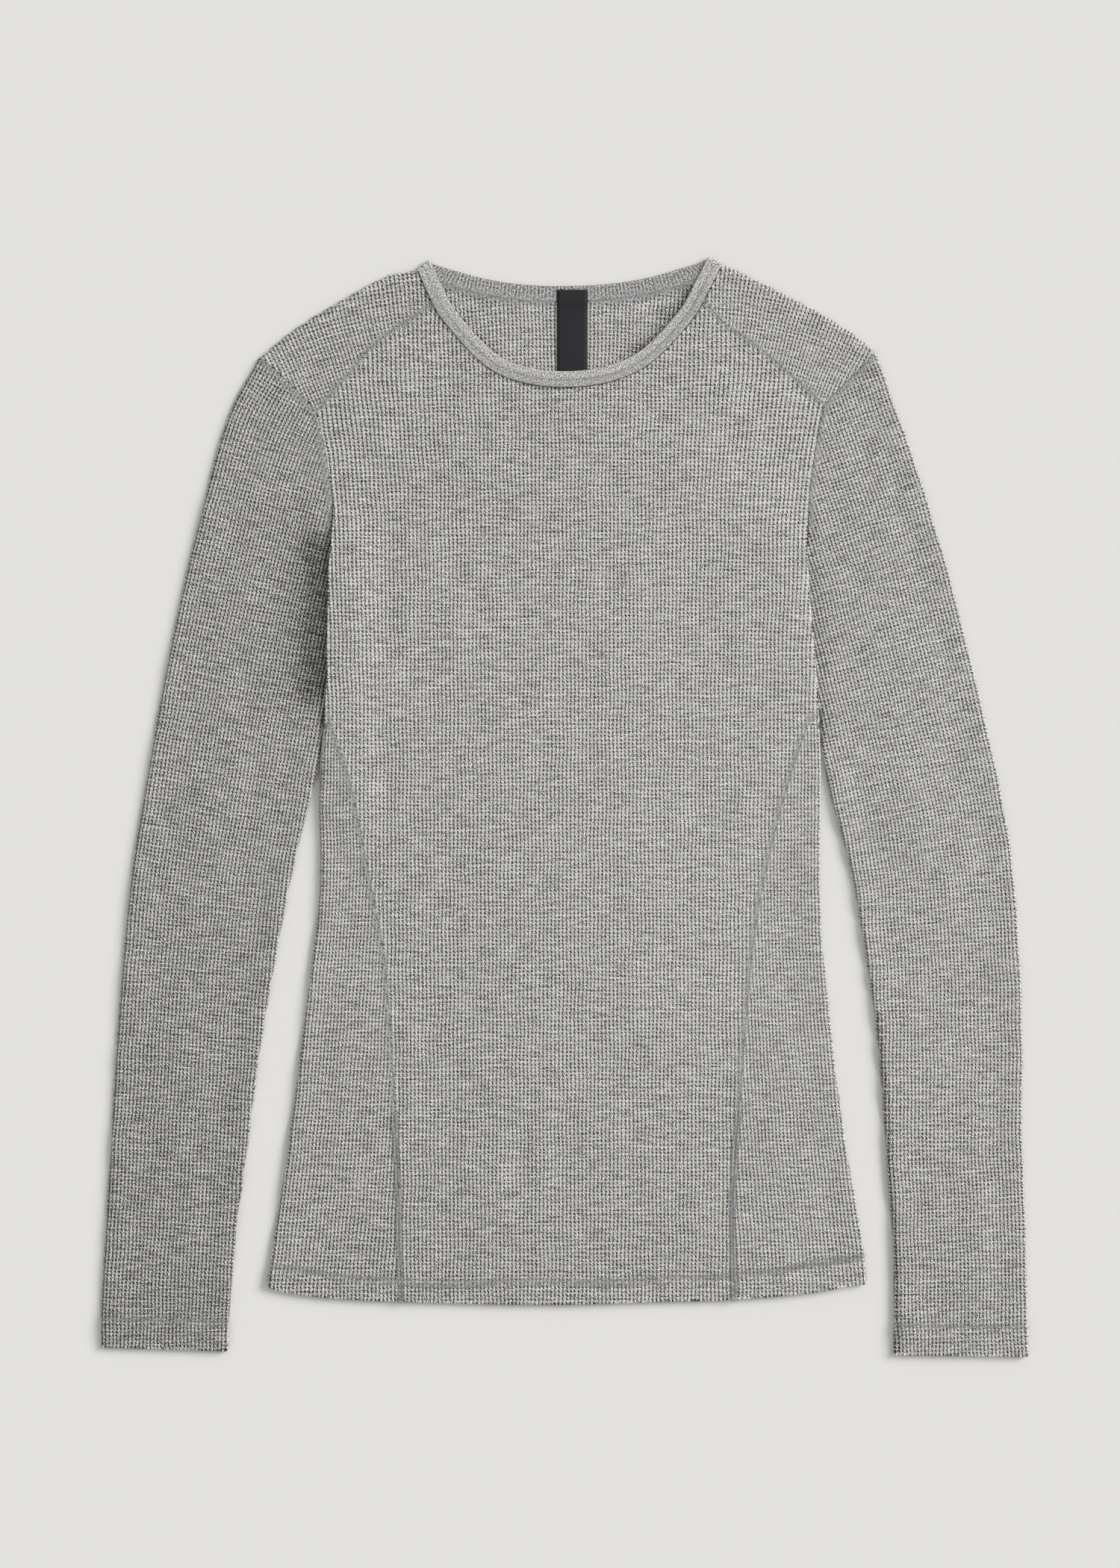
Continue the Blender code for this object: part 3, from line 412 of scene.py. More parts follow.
@dataclass(frozen=True)
class UnderarmLift:
    """How the front rises where it lies over the sleeves."""

    heights: tuple[float, float] = (4.2, 1.5)
    bottom: float = -55.0
    full_bottom: float = 45.0
    full_top: float = 175.0
    top: float = 215.0
    width: float = 12.0
    fade: float = 42.0

    def at(self, plan: Array) -> Array:
        """The rise at plan points."""
        y = plan[..., 1]
        rise = smooth_step(y, self.bottom, self.full_bottom)
        fall = 1.0 - smooth_step(y, self.full_top, self.top)
        lift = np.zeros(plan.shape[:-1])
        for side, height in zip(SIDES, self.heights):
            lip = np.array(side.lip)
            inward = (np.interp(y, lip[:, 1], lip[:, 0]) - plan[..., 0]) * side.sign
            lift += height * (1.0 - smooth_step(inward, self.width, self.fade))
        return rise * fall * lift


class HeightField:
    """Height of the upper leaf's middle, sampled once on a grid."""

    STEP = 2.0
    MARGIN = 14.0
    CHUNK = 40

    def __init__(self, part: Part, wall: Callable, low: Sequence, high: Sequence) -> None:
        """Sample the height over a box.

        Args:
            part: What the leaf belongs to.
            wall: The cloth's thickness at plan points.
            low: Lowest corner of the box.
            high: Highest corner of the box.
        """
        self.origin = np.array(low, float) - self.MARGIN
        counts = np.ceil((np.array(high) + self.MARGIN - self.origin) / self.STEP).astype(int) + 1
        xs = self.origin[0] + np.arange(counts[0]) * self.STEP
        ys = self.origin[1] + np.arange(counts[1]) * self.STEP
        rows = []
        for start in range(0, counts[1], self.CHUNK):
            grid_x, grid_y = np.meshgrid(xs, ys[start:start + self.CHUNK])
            plan = np.stack([grid_x, grid_y], axis=-1)
            rows.append(self._height(plan, wall(plan), part))
        self.values = np.vstack(rows)
        slope_y, slope_x = np.gradient(self.values, self.STEP)
        self.layers = np.stack([self.values, slope_x, slope_y], axis=-1)

    @staticmethod
    def folds() -> list[tuple[Part | None, Array]]:
        """The folds' edge lines with their radii; None stands for both parts."""
        found = []
        for side in SIDES:
            outer = np.vstack([side.shoulder, side.sleeve_outer[1:]])
            unfold = smooth_step(run_lengths(side.sleeve_inner), 0.0, UNFOLD_LENGTH)
            inner_radii = TUCKED_RADIUS + (FOLD_RADIUS - TUCKED_RADIUS) * unfold
            full = np.full(len(side.edge), FOLD_RADIUS)
            found.append((Part.BODY, np.column_stack([side.edge, full])))
            found.append((None, np.column_stack([outer, np.full(len(outer), FOLD_RADIUS)])))
            found.append((Part.SLEEVE, np.column_stack([side.sleeve_inner, inner_radii])))
        return found

    @classmethod
    def _height(cls, plan: Array, wall: Array, part: Part) -> Array:
        """The height worked out at plan points."""
        settled = wall + GAP
        height = settled.copy()
        for owner, fold in cls.folds():
            if owner not in (part, None):
                continue
            away = np.sqrt(((plan[..., None, :] - fold[:, :2]) ** 2).sum(axis=-1))
            distance, radius = away.min(axis=-1), fold[away.argmin(axis=-1), 2]
            ease = 1.0 - smooth_step(distance, radius, FOLD_REACH)
            height = np.maximum(height, settled + (2 * radius - settled) * ease)
        if part is Part.BODY:
            height = np.maximum(height, settled + UnderarmLift().at(plan))
        return wall / 2 + height + cls._swells(plan)

    @staticmethod
    def _swells(plan: Array) -> Array:
        """The soft rises that the upper leaves keep where they aren't pressed flat."""
        height = np.zeros(plan.shape[:-1])
        for swell in SWELLS:
            turn = math.radians(swell.turn)
            x = plan[..., 0] - swell.x
            y = plan[..., 1] - swell.y
            along = (x * math.cos(turn) + y * math.sin(turn)) / swell.half_length
            across = (y * math.cos(turn) - x * math.sin(turn)) / swell.half_width
            height += swell.height * np.exp(-(along ** 2 + across ** 2))
        return height

    def sample(self, plan: Array) -> tuple[Array, Array]:
        """Read the field.

        Args:
            plan: The plan points, one a row.

        Returns:
            The heights, and the unit normals of the leaf.
        """
        place = (plan - self.origin) / self.STEP
        limit = np.array([self.values.shape[1] - 1.001, self.values.shape[0] - 1.001])
        place = np.clip(place, 0.0, limit)
        cell = place.astype(int)
        share = place - cell
        column, row = cell[:, 0], cell[:, 1]
        u, v = share[:, :1], share[:, 1:]
        low = self.layers[row, column] * (1 - u) + self.layers[row, column + 1] * u
        high = self.layers[row + 1, column] * (1 - u) + self.layers[row + 1, column + 1] * u
        found = low * (1 - v) + high * v
        normals = unit(np.column_stack([-found[:, 1], -found[:, 2], np.ones(len(plan))]))
        return found[:, 0], normals


# --- Surfaces ---------------------------------------------------------------------------------

class Fold:
    """A round fold: where its half circle starts in plan, which way it faces and its radius."""

    OVERRUN = 4.0

    def __init__(self, edge: Array, outward: Array, wall: Callable,
                 heights: HeightField, opens: bool = False) -> None:
        """Find the centre line from the folded edge.

        Args:
            edge: Plan points of the outermost line.
            outward: Unit vectors out of the garment at those points.
            wall: The cloth's thickness at plan points.
            heights: The upper leaf's heights.
            opens: Whether the cloth lies flat again past the fold's start.
        """
        self.opens = opens
        walls = wall(edge)
        guess = edge - outward * (FOLD_RADIUS + walls / 2)[:, None]
        radius = (heights.sample(guess)[0] - walls / 2) / 2
        self.centres = edge - outward * (radius + walls / 2)[:, None]
        radii = (heights.sample(self.centres)[0] - walls / 2) / 2
        line = np.column_stack([self.centres, outward, radii, walls])
        self.outward = outward
        self.radius = radii
        first, last = line[:1].copy(), line[-1:].copy()
        first[:, :2] -= unit(line[1:2, :2] - first[:, :2]) * self.OVERRUN
        last[:, :2] += unit(last[:, :2] - line[-2:-1, :2]) * self.OVERRUN
        self.line = np.vstack([first, line, last])

    def locate(self, plan: Array) -> tuple[Array, ...]:
        """Find where points lie against the fold.

        Args:
            plan: Points of the plan domain.

        Returns:
            How far each lies beyond the centre line, and the centre, outward direction, radius
            and wall of the fold there.
        """
        centres, outwards = self.line[:, :2], self.line[:, 2:4]
        away = plan[:, None, :] - centres[None]
        side = away[..., 0] * outwards[:, 1] - away[..., 1] * outwards[:, 0]
        beyond = (away * outwards).sum(axis=-1)
        crossing = (side[:, :-1] >= 0) != (side[:, 1:] >= 0)
        reach = np.where(crossing, np.abs(beyond[:, :-1]), np.inf)
        index = reach.argmin(axis=1)
        missed = ~crossing.any(axis=1)
        closest = (away ** 2).sum(axis=-1).argmin(axis=1)
        index[missed] = np.clip(closest[missed], 0, len(centres) - 2)
        rows = np.arange(len(plan))
        a, b = side[rows, index], side[rows, index + 1]
        span = np.where(np.abs(a - b) < TINY, 1.0, a - b)
        share = np.clip(a / span, 0.0, 1.0)[:, None]
        found = self.line[index] * (1 - share) + self.line[index + 1] * share
        centre, outward = found[:, :2], unit(found[:, 2:4])
        radius, walls = found[:, 4], found[:, 5]
        distance = ((plan - centre) * outward).sum(axis=1)
        return distance, centre, outward, radius, walls

    def opened(self, plan: Array) -> Array:
        """How far domain points lie past the fold's start, up to 1 where it is all flat."""
        if not self.opens:
            return np.zeros(len(plan))
        start, after = self.line[1, :2], self.line[2, :2]
        return np.clip((start - plan) @ unit(after - start) / self.OVERRUN, 0.0, 1.0)

    def unrolled(self, plan: Array) -> Array:
        """Domain points of plan points that lie on the lower leaf."""
        distance, centre, outward, radius, _ = self.locate(plan)
        return centre + outward * (math.pi * radius - distance)[:, None]


class Surface:
    """The middle of a cloth wall over its plan domain, with the way its outer face looks."""

    HAND = 1.0

    def __init__(self, wall: Callable, heights: HeightField | None,
                 folds: Sequence[Fold] = ()) -> None:
        """Keep what the mapping needs.

        Args:
            wall: The cloth's thickness at plan points.
            heights: The upper leaf's heights, or None for cloth that lies on the floor.
            folds: The folds that the domain runs round.
        """
        self.wall = wall
        self.heights = heights
        self.folds = list(folds)

    def middles(self, plan: Array) -> tuple[Array, Array, Array]:
        """Map domain points.

        Args:
            plan: The domain points.

        Returns:
            The wall's middles, its outer normals and its thicknesses.
        """
        parts = [self._middles(plan[start:start + CHUNK]) for start in range(0, len(plan), CHUNK)]
        return tuple(np.concatenate(columns) for columns in zip(*parts))

    def _middles(self, plan: Array) -> tuple[Array, Array, Array]:
        """Map one chunk of domain points."""
        walls = self.wall(plan)
        if self.heights is None:
            up = np.tile([0.0, 0.0, 1.0], (len(plan), 1))
            return np.column_stack([plan, walls / 2]), up, walls
        z, normals = self.heights.sample(plan)
        points = np.column_stack([plan, z])
        for fold in self.folds:
            distance, centre, outward, radius, fold_walls = fold.locate(plan)
            over = distance > 0.0
            angle = np.minimum(distance / radius, math.pi)
            past = np.maximum(distance - math.pi * radius, 0.0)
            flat = centre + outward * (radius * np.sin(angle) - past)[:, None]
            lower = past > 0.0
            fold_walls[lower] = self.wall(flat[lower])
            level = fold_walls / 2 + radius * (1.0 + np.cos(angle))
            opened = fold.opened(plan)[over][:, None]
            rolled = np.column_stack([flat, level])[over]
            points[over] = rolled + (points[over] - rolled) * opened
            turned = np.column_stack([outward * np.sin(angle)[:, None], np.cos(angle)])[over]
            normals[over] = unit(turned + (normals[over] - turned) * opened)
            walls = np.where(over, fold_walls, walls)
        return points, normals, walls

    def place(self, plan: Array, face: Face, lift: Array | float = 0.0) -> Array:
        """Points on one face of the cloth, lifted out of it, in millimetres."""
        middles, normals, walls = self.middles(plan)
        return middles + normals * (walls / 2 * face.value + lift)[:, None]

    def turned(self, plan: Array) -> Array:
        """How far round a fold each domain point lies, in half turns."""
        share = np.zeros(len(plan))
        for fold in self.folds:
            distance, _, _, radius, _ = fold.locate(plan)
            turned = np.clip(distance / (math.pi * radius), 0.0, None)
            share = np.maximum(share, turned * (1.0 - fold.opened(plan)))
        return share


class Region:
    """The inside of a closed plan line."""

    SPACING = 6.0
    STRAIGHT = 0.95
    CHUNK = 4000

    def __init__(self, outline: Array) -> None:
        """Keep a coarser copy of the line, with its corners, for the tests."""
        run = unit(np.roll(outline, -1, axis=0) - outline)
        corners = (run * np.roll(run, 1, axis=0)).sum(axis=1) < self.STRAIGHT
        keep = [outline[0]]
        for point, corner in zip(outline[1:], corners[1:]):
            if corner or np.linalg.norm(point - keep[-1]) >= self.SPACING:
                keep.append(point)
        self.start = np.array(keep)
        self.end = np.roll(self.start, -1, axis=0)
        self.outline = outline

    @property
    def area(self) -> float:
        """The region's area, in square millimetres."""
        return abs(signed_area(self.outline))

    def depth(self, points: Array) -> Array:
        """How far inside the line points lie; negative outside."""
        return in_chunks(self._depth, points, self.CHUNK)

    def _depth(self, points: Array) -> Array:
        """The depth of one chunk of points."""
        run = self.end - self.start
        away = points[:, None, :] - self.start[None]
        share = np.clip((away * run).sum(-1) / (run ** 2).sum(-1), 0.0, 1.0)
        gap = away - share[..., None] * run
        distance = np.sqrt((gap ** 2).sum(-1)).min(axis=1)
        return np.where(self.inside(points, self.start), distance, -distance)

    @staticmethod
    def inside(points: Array, line: Array) -> Array:
        """Whether points lie inside a closed line."""
        run = np.roll(line, -1, axis=0) - line
        y = points[:, 1:2]
        straddles = (line[:, 1] > y) != (np.roll(line[:, 1], -1) > y)
        rise = np.where(run[:, 1] == 0.0, 1.0, run[:, 1])
        cut = line[:, 0] + (y - line[:, 1]) / rise * run[:, 0]
        return (straddles & (points[:, :1] < cut)).sum(axis=1) % 2 == 1


# --- Knit -------------------------------------------------------------------------------------

class Wander:
    """The slow sideways drift that keeps a knit's lines from running dead straight."""

    WAVES = 6
    WAVELENGTHS = (24.0, 80.0)

    def __init__(self, seed: int, amplitude: float = 0.22) -> None:
        """Draw the waves."""
        rng = np.random.default_rng(seed)
        self.direction = rng.uniform(0.0, 2 * math.pi, self.WAVES)
        self.wavelength = rng.uniform(*self.WAVELENGTHS, self.WAVES)
        self.phase = rng.uniform(0.0, 2 * math.pi, (self.WAVES, 2))
        self.amplitude = amplitude

    def at(self, plan: Array) -> Array:
        """The drift at plan points."""
        drift = np.zeros_like(plan)
        for angle, length, phases in zip(self.direction, self.wavelength, self.phase):
            along = plan @ np.array([math.cos(angle), math.sin(angle)])
            for axis in (0, 1):
                drift[:, axis] += np.sin(2 * math.pi * along / length + phases[axis])
        return drift * self.amplitude / math.sqrt(self.WAVES / 2)


class Grain:
    """How a knit's wales and courses run over a piece's plan."""

    INVERSE_STEPS = 40

    def __init__(self, seed: int, wale: float = 2.61, course: float = 2.58) -> None:
        """Keep the pitches.

        Args:
            seed: Seed of the drift.
            wale: Distance between wales.
            course: Distance between the bars that cross them.
        """
        self.wale = wale
        self.course = course
        self.wander = Wander(seed)

    def run(self, knit: Array) -> Array:
        """Plan points of knit coordinates, before the drift."""
        raise NotImplementedError

    def plan(self, knit: Array) -> Array:
        """Plan points of knit coordinates."""
        points = self.run(knit)
        return points + self.wander.at(points)

    def knit(self, plan: Array) -> Array:
        """Knit coordinates of plan points."""
        found = plan.copy()
        for _ in range(self.INVERSE_STEPS):
            found -= self.plan(found) - plan
        return found


class SpreadGrain(Grain):
    """Upright wales that spread a little towards the armholes."""

    HALF_WIDTH = 160.0
    LIMIT = 1.2
    SPREAD = 6.4
    BOTTOM = 40.0
    TOP = 280.0
    CORNER_SPREAD = 15.0
    CORNER_BOTTOM = 190.0
    CORNER_TOP = 330.0

    def run(self, knit: Array) -> Array:
        """Plan points of knit coordinates, before the drift."""
        across = (knit[:, 0] / self.HALF_WIDTH).clip(-self.LIMIT, self.LIMIT)
        shift = self.SPREAD * across ** 3 * smooth_step(knit[:, 1], self.BOTTOM, self.TOP)
        corner = smooth_step(knit[:, 1], self.CORNER_BOTTOM, self.CORNER_TOP)
        shift += self.CORNER_SPREAD * across * np.abs(across) * corner
        return np.column_stack([knit[:, 0] + shift, knit[:, 1]])


class FanGrain(Grain):
    """Wales that fan out from a centre below the piece."""

    def __init__(self, seed: int, centre: tuple[float, float], radius: float) -> None:
        """Keep the fan.

        Args:
            seed: Seed of the drift.
            centre: Where all wales meet.
            radius: Distance from the centre at which the wales have their own pitch.
        """
        super().__init__(seed)
        self.centre = np.array(centre)
        self.radius = radius

    def run(self, knit: Array) -> Array:
        """Plan points of knit coordinates, before the drift."""
        angle = (knit[:, 0] - self.centre[0]) / self.radius
        reach = knit[:, 1] - self.centre[1]
        return self.centre + np.column_stack([np.sin(angle), np.cos(angle)]) * reach[:, None]


class EdgeGrain(Grain):
    """Wales that lean with the body's edge, and less so further in."""

    LEVEL = -320.0
    REACH = 240.0
    SHARE = 0.75

    def __init__(self, seed: int, side: Side) -> None:
        """Keep the side whose edge the wales follow."""
        super().__init__(seed)
        self.side = side

    def run(self, knit: Array) -> Array:
        """Plan points of knit coordinates, before the drift."""
        start = float(self.side.edge_x(self.LEVEL))
        inward = (start - knit[:, 0]) * self.side.sign
        follow = self.SHARE - inward / self.REACH
        shift = (self.side.edge_x(knit[:, 1]) - start) * follow
        return np.column_stack([knit[:, 0] + shift, knit[:, 1]])


class OffsetGrain(Grain):
    """Wales parallel to a sleeve's outer edge."""

    EXTENSION = 90.0
    SPACING = 3.0
    SMOOTHING = 9

    def __init__(self, seed: int, side: Side) -> None:
        """Work out the edge's run and its inward direction."""
        super().__init__(seed, wale=2.5, course=2.55)
        line = side.sleeve_outer[::-1]
        first = line[0] - unit(line[3] - line[0]) * self.EXTENSION
        last = line[-1] + unit(line[-1] - line[-4]) * self.EXTENSION
        line = even(np.vstack([first, line, last]), self.SPACING)
        pad = self.SMOOTHING // 2
        window = np.ones(self.SMOOTHING) / self.SMOOTHING
        for _ in range(2):
            inner = np.column_stack([
                np.convolve(line[:, axis], window, mode="valid") for axis in (0, 1)
            ])
            line = np.vstack([line[:pad], inner, line[-pad:]])
        self.line = line
        self.right = -left_normals(line)
        self.lengths = run_lengths(line)
        self.base = float(line[0, 1])
        self.edge = float(line[0, 0])

    def run(self, knit: Array) -> Array:
        """Plan points of knit coordinates, before the drift."""
        along = knit[:, 1] - self.base
        foot, right = (
            np.column_stack([np.interp(along, self.lengths, column) for column in table.T])
            for table in (self.line, self.right))
        return foot + unit(right) * (knit[:, 0] - self.edge)[:, None]


@dataclass(frozen=True)
class Waffle:
    """The relief of the waffle knit."""

    rib: float = 0.25
    bar: float = -0.45
    pit: float = -0.95
    jitter: float = 0.045
    edge_clearance: float = 0.75
    fade_start: float = -2.0
    fade_end: float = 1.4
    fold_fade: tuple[float, float] = (0.55, 0.9)


@dataclass
class Patch:
    """Part of a shell: points, triangles and knit coordinates."""

    points: Array
    triangles: Array
    knit: Array


@dataclass
class KnitLattice:
    """The points of the waffle relief over a piece's domain."""

    grain: Grain
    waffle: Waffle
    seed: int

    def points(self, outline: Array) -> tuple[Array, Array, Array]:
        """Lattice points over an outline's box.

        Args:
            outline: The domain's outline.

        Returns:
            Plan points, knit coordinates and lifts.
        """
        wale, course = self.grain.wale, self.grain.course
        knit_outline = self.grain.knit(outline)
        low = np.floor(knit_outline.min(axis=0) / [wale, course]) - 1
        high = np.ceil(knit_outline.max(axis=0) / [wale, course]) + 1
        columns, rows = np.meshgrid(np.arange(low[0], high[0]), np.arange(low[1], high[1]))
        cells = np.column_stack([columns.ravel(), rows.ravel()])
        kinds = (
            ((0.0, 0.0), self.waffle.rib),
            ((0.5, 0.0), self.waffle.bar),
            ((0.5, 0.5), self.waffle.pit),
        )
        knit = np.vstack([(cells + shift) * [wale, course] for shift, _ in kinds])
        lifts = np.concatenate([np.full(len(cells), lift) for _, lift in kinds])
        rng = np.random.default_rng(self.seed)
        lifts = lifts + rng.normal(0.0, self.waffle.jitter, len(lifts))
        moved = knit + rng.normal(0.0, self.waffle.jitter, knit.shape)
        return self.grain.plan(moved), moved, lifts


class Shell:
    """A closed thin cloth shell, put together from patches."""

    RIM_ANGLES = (58.0, 20.0, -20.0, -58.0)
    COARSE = 9.0
    WELD = 0.12
    PROBE = 0.2
    OVERLAP = 1.0
    PAST_FADE = 0.25
    COURSE_SQUEEZE = 0.8      # makes the triangles' edges follow the wales

    def __init__(self, surface: Surface, lattice: KnitLattice | None) -> None:
        """Keep the mapping and the knit.

        Args:
            surface: Maps the domain.
            lattice: The relief of the outer face, or None for a plain one.
        """
        self.surface = surface
        self.lattice = lattice
        self.patches: list[Patch] = []

    @staticmethod
    def triangulate(points: Array, outline: int) -> Array:
        """Triangles between points, inside the outline that the first of them make.

        Args:
            points: All plan points, the outline's first.
            outline: How many points the outline has.

        Returns:
            The triangles, counter-clockwise in plan.
        """
        edges = [(index, (index + 1) % outline) for index in range(outline)]
        found = delaunay_2d_cdt([Vector(p) for p in points.tolist()], edges, [], 1, 1e-7, True)
        if len(found[0]) != len(points):
            raise ValueError(f"the outline crosses itself: {len(found[0]) - len(points)} more")
        triangles = np.array(found[2], dtype=np.int64)
        doubtful = np.flatnonzero((triangles < outline).all(axis=1))
        outside = Shell.outside(triangles[doubtful].tolist(), outline)
        return np.delete(triangles, doubtful[outside], axis=0)

    @staticmethod
    def outside(triangles: list[list[int]], outline: int) -> list[int]:
        """Indices of the triangles that lie outside a counter-clockwise outline."""
        owner = {}
        for index, (a, b, c) in enumerate(triangles):
            owner.update({(a, b): index, (b, c): index, (c, a): index})
        edges = {(index, (index + 1) % outline) for index in range(outline)}
        waiting = [owner[b, a] for a, b in edges if (b, a) in owner]
        found = set(waiting)
        while waiting:
            a, b, c = triangles[waiting.pop()]
            for start, end in ((a, b), (b, c), (c, a)):
                other = owner.get((end, start))
                if (end, start) not in edges and other is not None and other not in found:
                    found.add(other)
                    waiting.append(other)
        return sorted(found)

    def knit_of(self, plan: Array) -> Array:
        """Knit coordinates of domain points."""
        return plan.copy() if self.lattice is None else self.lattice.grain.knit(plan)

    def relief_face(self, outline: Array, windows: Sequence[Region] = (),
                    sewn: Callable | None = None) -> None:
        """Add the outer face with its knit.

        Args:
            outline: The domain's outline.
            windows: Where the relief is worked out; all over if there are none.
            sewn: Share of the relief that is left at domain points, of 1.
        """
        region = Region(outline)
        waffle = self.lattice.waffle
        plan, knit, lifts = self.lattice.points(outline)
        depth = region.depth(plan)
        keep = depth > waffle.edge_clearance
        if windows:
            keep &= np.max([window.depth(plan) for window in windows], axis=0) > 0.0
        turned = self.surface.turned(plan[keep]) if self.surface.folds else np.zeros(keep.sum())
        near = np.flatnonzero(keep)[turned <= waffle.fold_fade[1]]
        turned = turned[turned <= waffle.fold_fade[1]]
        plan, knit, lifts = plan[near], knit[near], lifts[near]
        share = smooth_step(depth[near], waffle.fade_start, waffle.fade_end)
        share = share * (1.0 - smooth_step(turned, *waffle.fold_fade))
        if sewn is not None:
            share = share * sewn(plan)
        rest = self._coarse(outline, region)
        if windows:
            rest = rest[np.max([window.depth(rest) for window in windows], axis=0) < -self.OVERLAP]
        elif self.surface.folds:
            rest = rest[self.surface.turned(rest) > waffle.fold_fade[1] + self.PAST_FADE]
        else:
            rest = rest[:0]
        points = np.vstack([outline, plan, rest])
        lift = np.concatenate([np.zeros(len(outline)), lifts * share, np.zeros(len(rest))])
        knits = np.vstack([self.knit_of(outline), knit, self.knit_of(rest)])
        triangles = self.triangulate(knits * [1.0, self.COURSE_SQUEEZE], len(outline))
        placed = self.surface.place(points, Face.OUTER, lift)
        self.patches.append(Patch(placed, triangles, knits))

    def _coarse(self, outline: Array, region: Region) -> Array:
        """A coarse grid of points well inside the outline."""
        low, high = outline.min(axis=0), outline.max(axis=0)
        xs = np.arange(low[0], high[0], self.COARSE)
        ys = np.arange(low[1], high[1], self.COARSE)
        grid = np.column_stack([axis.ravel() for axis in np.meshgrid(xs, ys)])
        return grid[region.depth(grid) > self.COARSE / 2]

    def plain_face(self, outline: Array, face: Face, flipped: bool = False) -> None:
        """Add a plain face.

        Args:
            outline: The domain's outline.
            face: Which face of the wall it is.
            flipped: Turn its triangles over, for cloth that is seen from below.
        """
        points = np.vstack([outline, self._coarse(outline, Region(outline))])
        triangles = self.triangulate(points, len(outline))
        if (face is Face.INNER) != flipped:
            triangles = triangles[:, ::-1]
        placed = self.surface.place(points, face)
        self.patches.append(Patch(placed, triangles, self.knit_of(points)))

    def rim(self, line: Array, closed: bool) -> None:
        """Add the round rim between the two faces along a boundary line.

        Args:
            line: Domain points of the boundary, with the cloth on its left.
            closed: Whether the line's end meets its start.
        """
        outward = self.outward(line, closed) * self.surface.HAND
        middles, normals, walls = self.surface.middles(line)
        beyond = self.surface.middles(line + outward * self.PROBE)[0]
        tangents = unit(beyond - middles)
        rings = [middles + normals * (walls / 2)[:, None]]
        for angle in self.RIM_ANGLES:
            turn = math.radians(angle)
            reach = tangents * math.cos(turn) + normals * math.sin(turn)
            rings.append(middles + reach * (walls / 2)[:, None])
        rings.append(middles - normals * (walls / 2)[:, None])
        count = len(line)
        triangles = []
        last = count if closed else count - 1
        for ring in range(len(rings) - 1):
            for index in range(last):
                a = ring * count + index
                b = ring * count + (index + 1) % count
                c, d = b + count, a + count
                triangles += [(a, d, c), (a, c, b)]
        knit = np.tile(self.knit_of(line), (len(rings), 1))
        self.patches.append(Patch(np.vstack(rings), np.array(triangles), knit))

    @staticmethod
    def outward(line: Array, closed: bool) -> Array:
        """Unit vectors out of the cloth along a boundary that has it on its left."""
        if not closed:
            return -left_normals(line)
        run = np.roll(line, -1, axis=0) - np.roll(line, 1, axis=0)
        return unit(np.column_stack([run[:, 1], -run[:, 0]]))

    def mesh(self, name: str) -> Mesh:
        """Join the patches into one mesh.

        Args:
            name: The mesh's name.

        Returns:
            The mesh, in metres, with its knit UV map.
        """
        points = np.vstack([patch.points for patch in self.patches])
        starts = np.cumsum([0] + [len(patch.points) for patch in self.patches])
        corners = np.vstack([
            patch.triangles + start for patch, start in zip(self.patches, starts)
        ])
        knit = np.vstack([patch.knit for patch in self.patches])[corners.ravel()]
        _, first, merged = np.unique(
            np.round(points, 4), axis=0, return_index=True, return_inverse=True)
        triangles = merged.ravel()[corners]
        solid = (triangles != np.roll(triangles, 1, axis=1)).all(axis=1)
        mesh = MeshMaker.make(name, points[first] * MM, triangles[solid])
        MeshMaker.knit_map(mesh, knit.reshape(-1, 3, 2)[solid])
        self._weld(mesh)
        return mesh

    @classmethod
    def _weld(cls, mesh: Mesh) -> None:
        """Close the small gaps that rounding leaves between patches."""
        work = bmesh.new()
        work.from_mesh(mesh)
        loose = {vert for edge in work.edges if len(edge.link_faces) == 1 for vert in edge.verts}
        if loose:
            bmesh.ops.remove_doubles(work, verts=list(loose), dist=cls.WELD * MM)
            work.to_mesh(mesh)
        work.free()


class MeshMaker:
    """Makes meshes from arrays."""

    @staticmethod
    def make(name: str, points: Array, triangles: Array) -> Mesh:
        """Make a smooth triangle mesh.

        Args:
            name: The mesh's name.
            points: Its vertices, in metres.
            triangles: Its faces.

        Returns:
            The mesh.
        """
        mesh = bpy.data.meshes.new(name)
        mesh.vertices.add(len(points))
        mesh.vertices.foreach_set("co", np.ascontiguousarray(points, dtype="f").ravel())
        mesh.loops.add(triangles.size)
        mesh.loops.foreach_set("vertex_index", np.ascontiguousarray(triangles, "i").ravel())
        mesh.polygons.add(len(triangles))
        mesh.polygons.foreach_set("loop_start", np.arange(0, triangles.size, 3, dtype="i"))
        mesh.update(calc_edges=True)
        mesh.validate()
        mesh.shade_smooth()
        return mesh

    @staticmethod
    def attribute(mesh: Mesh, name: str, values: Array) -> None:
        """Store a number or a vector for each point."""
        kind, field = ("FLOAT", "value") if values.ndim == 1 else ("FLOAT_VECTOR", "vector")
        layer = mesh.attributes.new(name, kind, "POINT")
        layer.data.foreach_set(field, values.astype("f").ravel())

    @staticmethod
    def knit_map(mesh: Mesh, corners: Array) -> None:
        """Store the knit coordinates of each triangle's corners, given in millimetres."""
        layer = mesh.uv_layers.new(name="knit")
        layer.data.foreach_set("uv", (corners * MM).astype("f").ravel())

    @staticmethod
    def grid_triangles(rows: int, columns: int, closed: bool) -> Array:
        """Triangles between the rows and columns of a grid of points, closed both ways or open."""
        found = []
        for row in range(rows if closed else rows - 1):
            for column in range(columns if closed else columns - 1):
                a = row * columns + column
                b = row * columns + (column + 1) % columns
                c = (row + 1) % rows * columns + (column + 1) % columns
                d = (row + 1) % rows * columns + column
                found += [(a, b, c), (a, c, d)]
        return np.array(found)


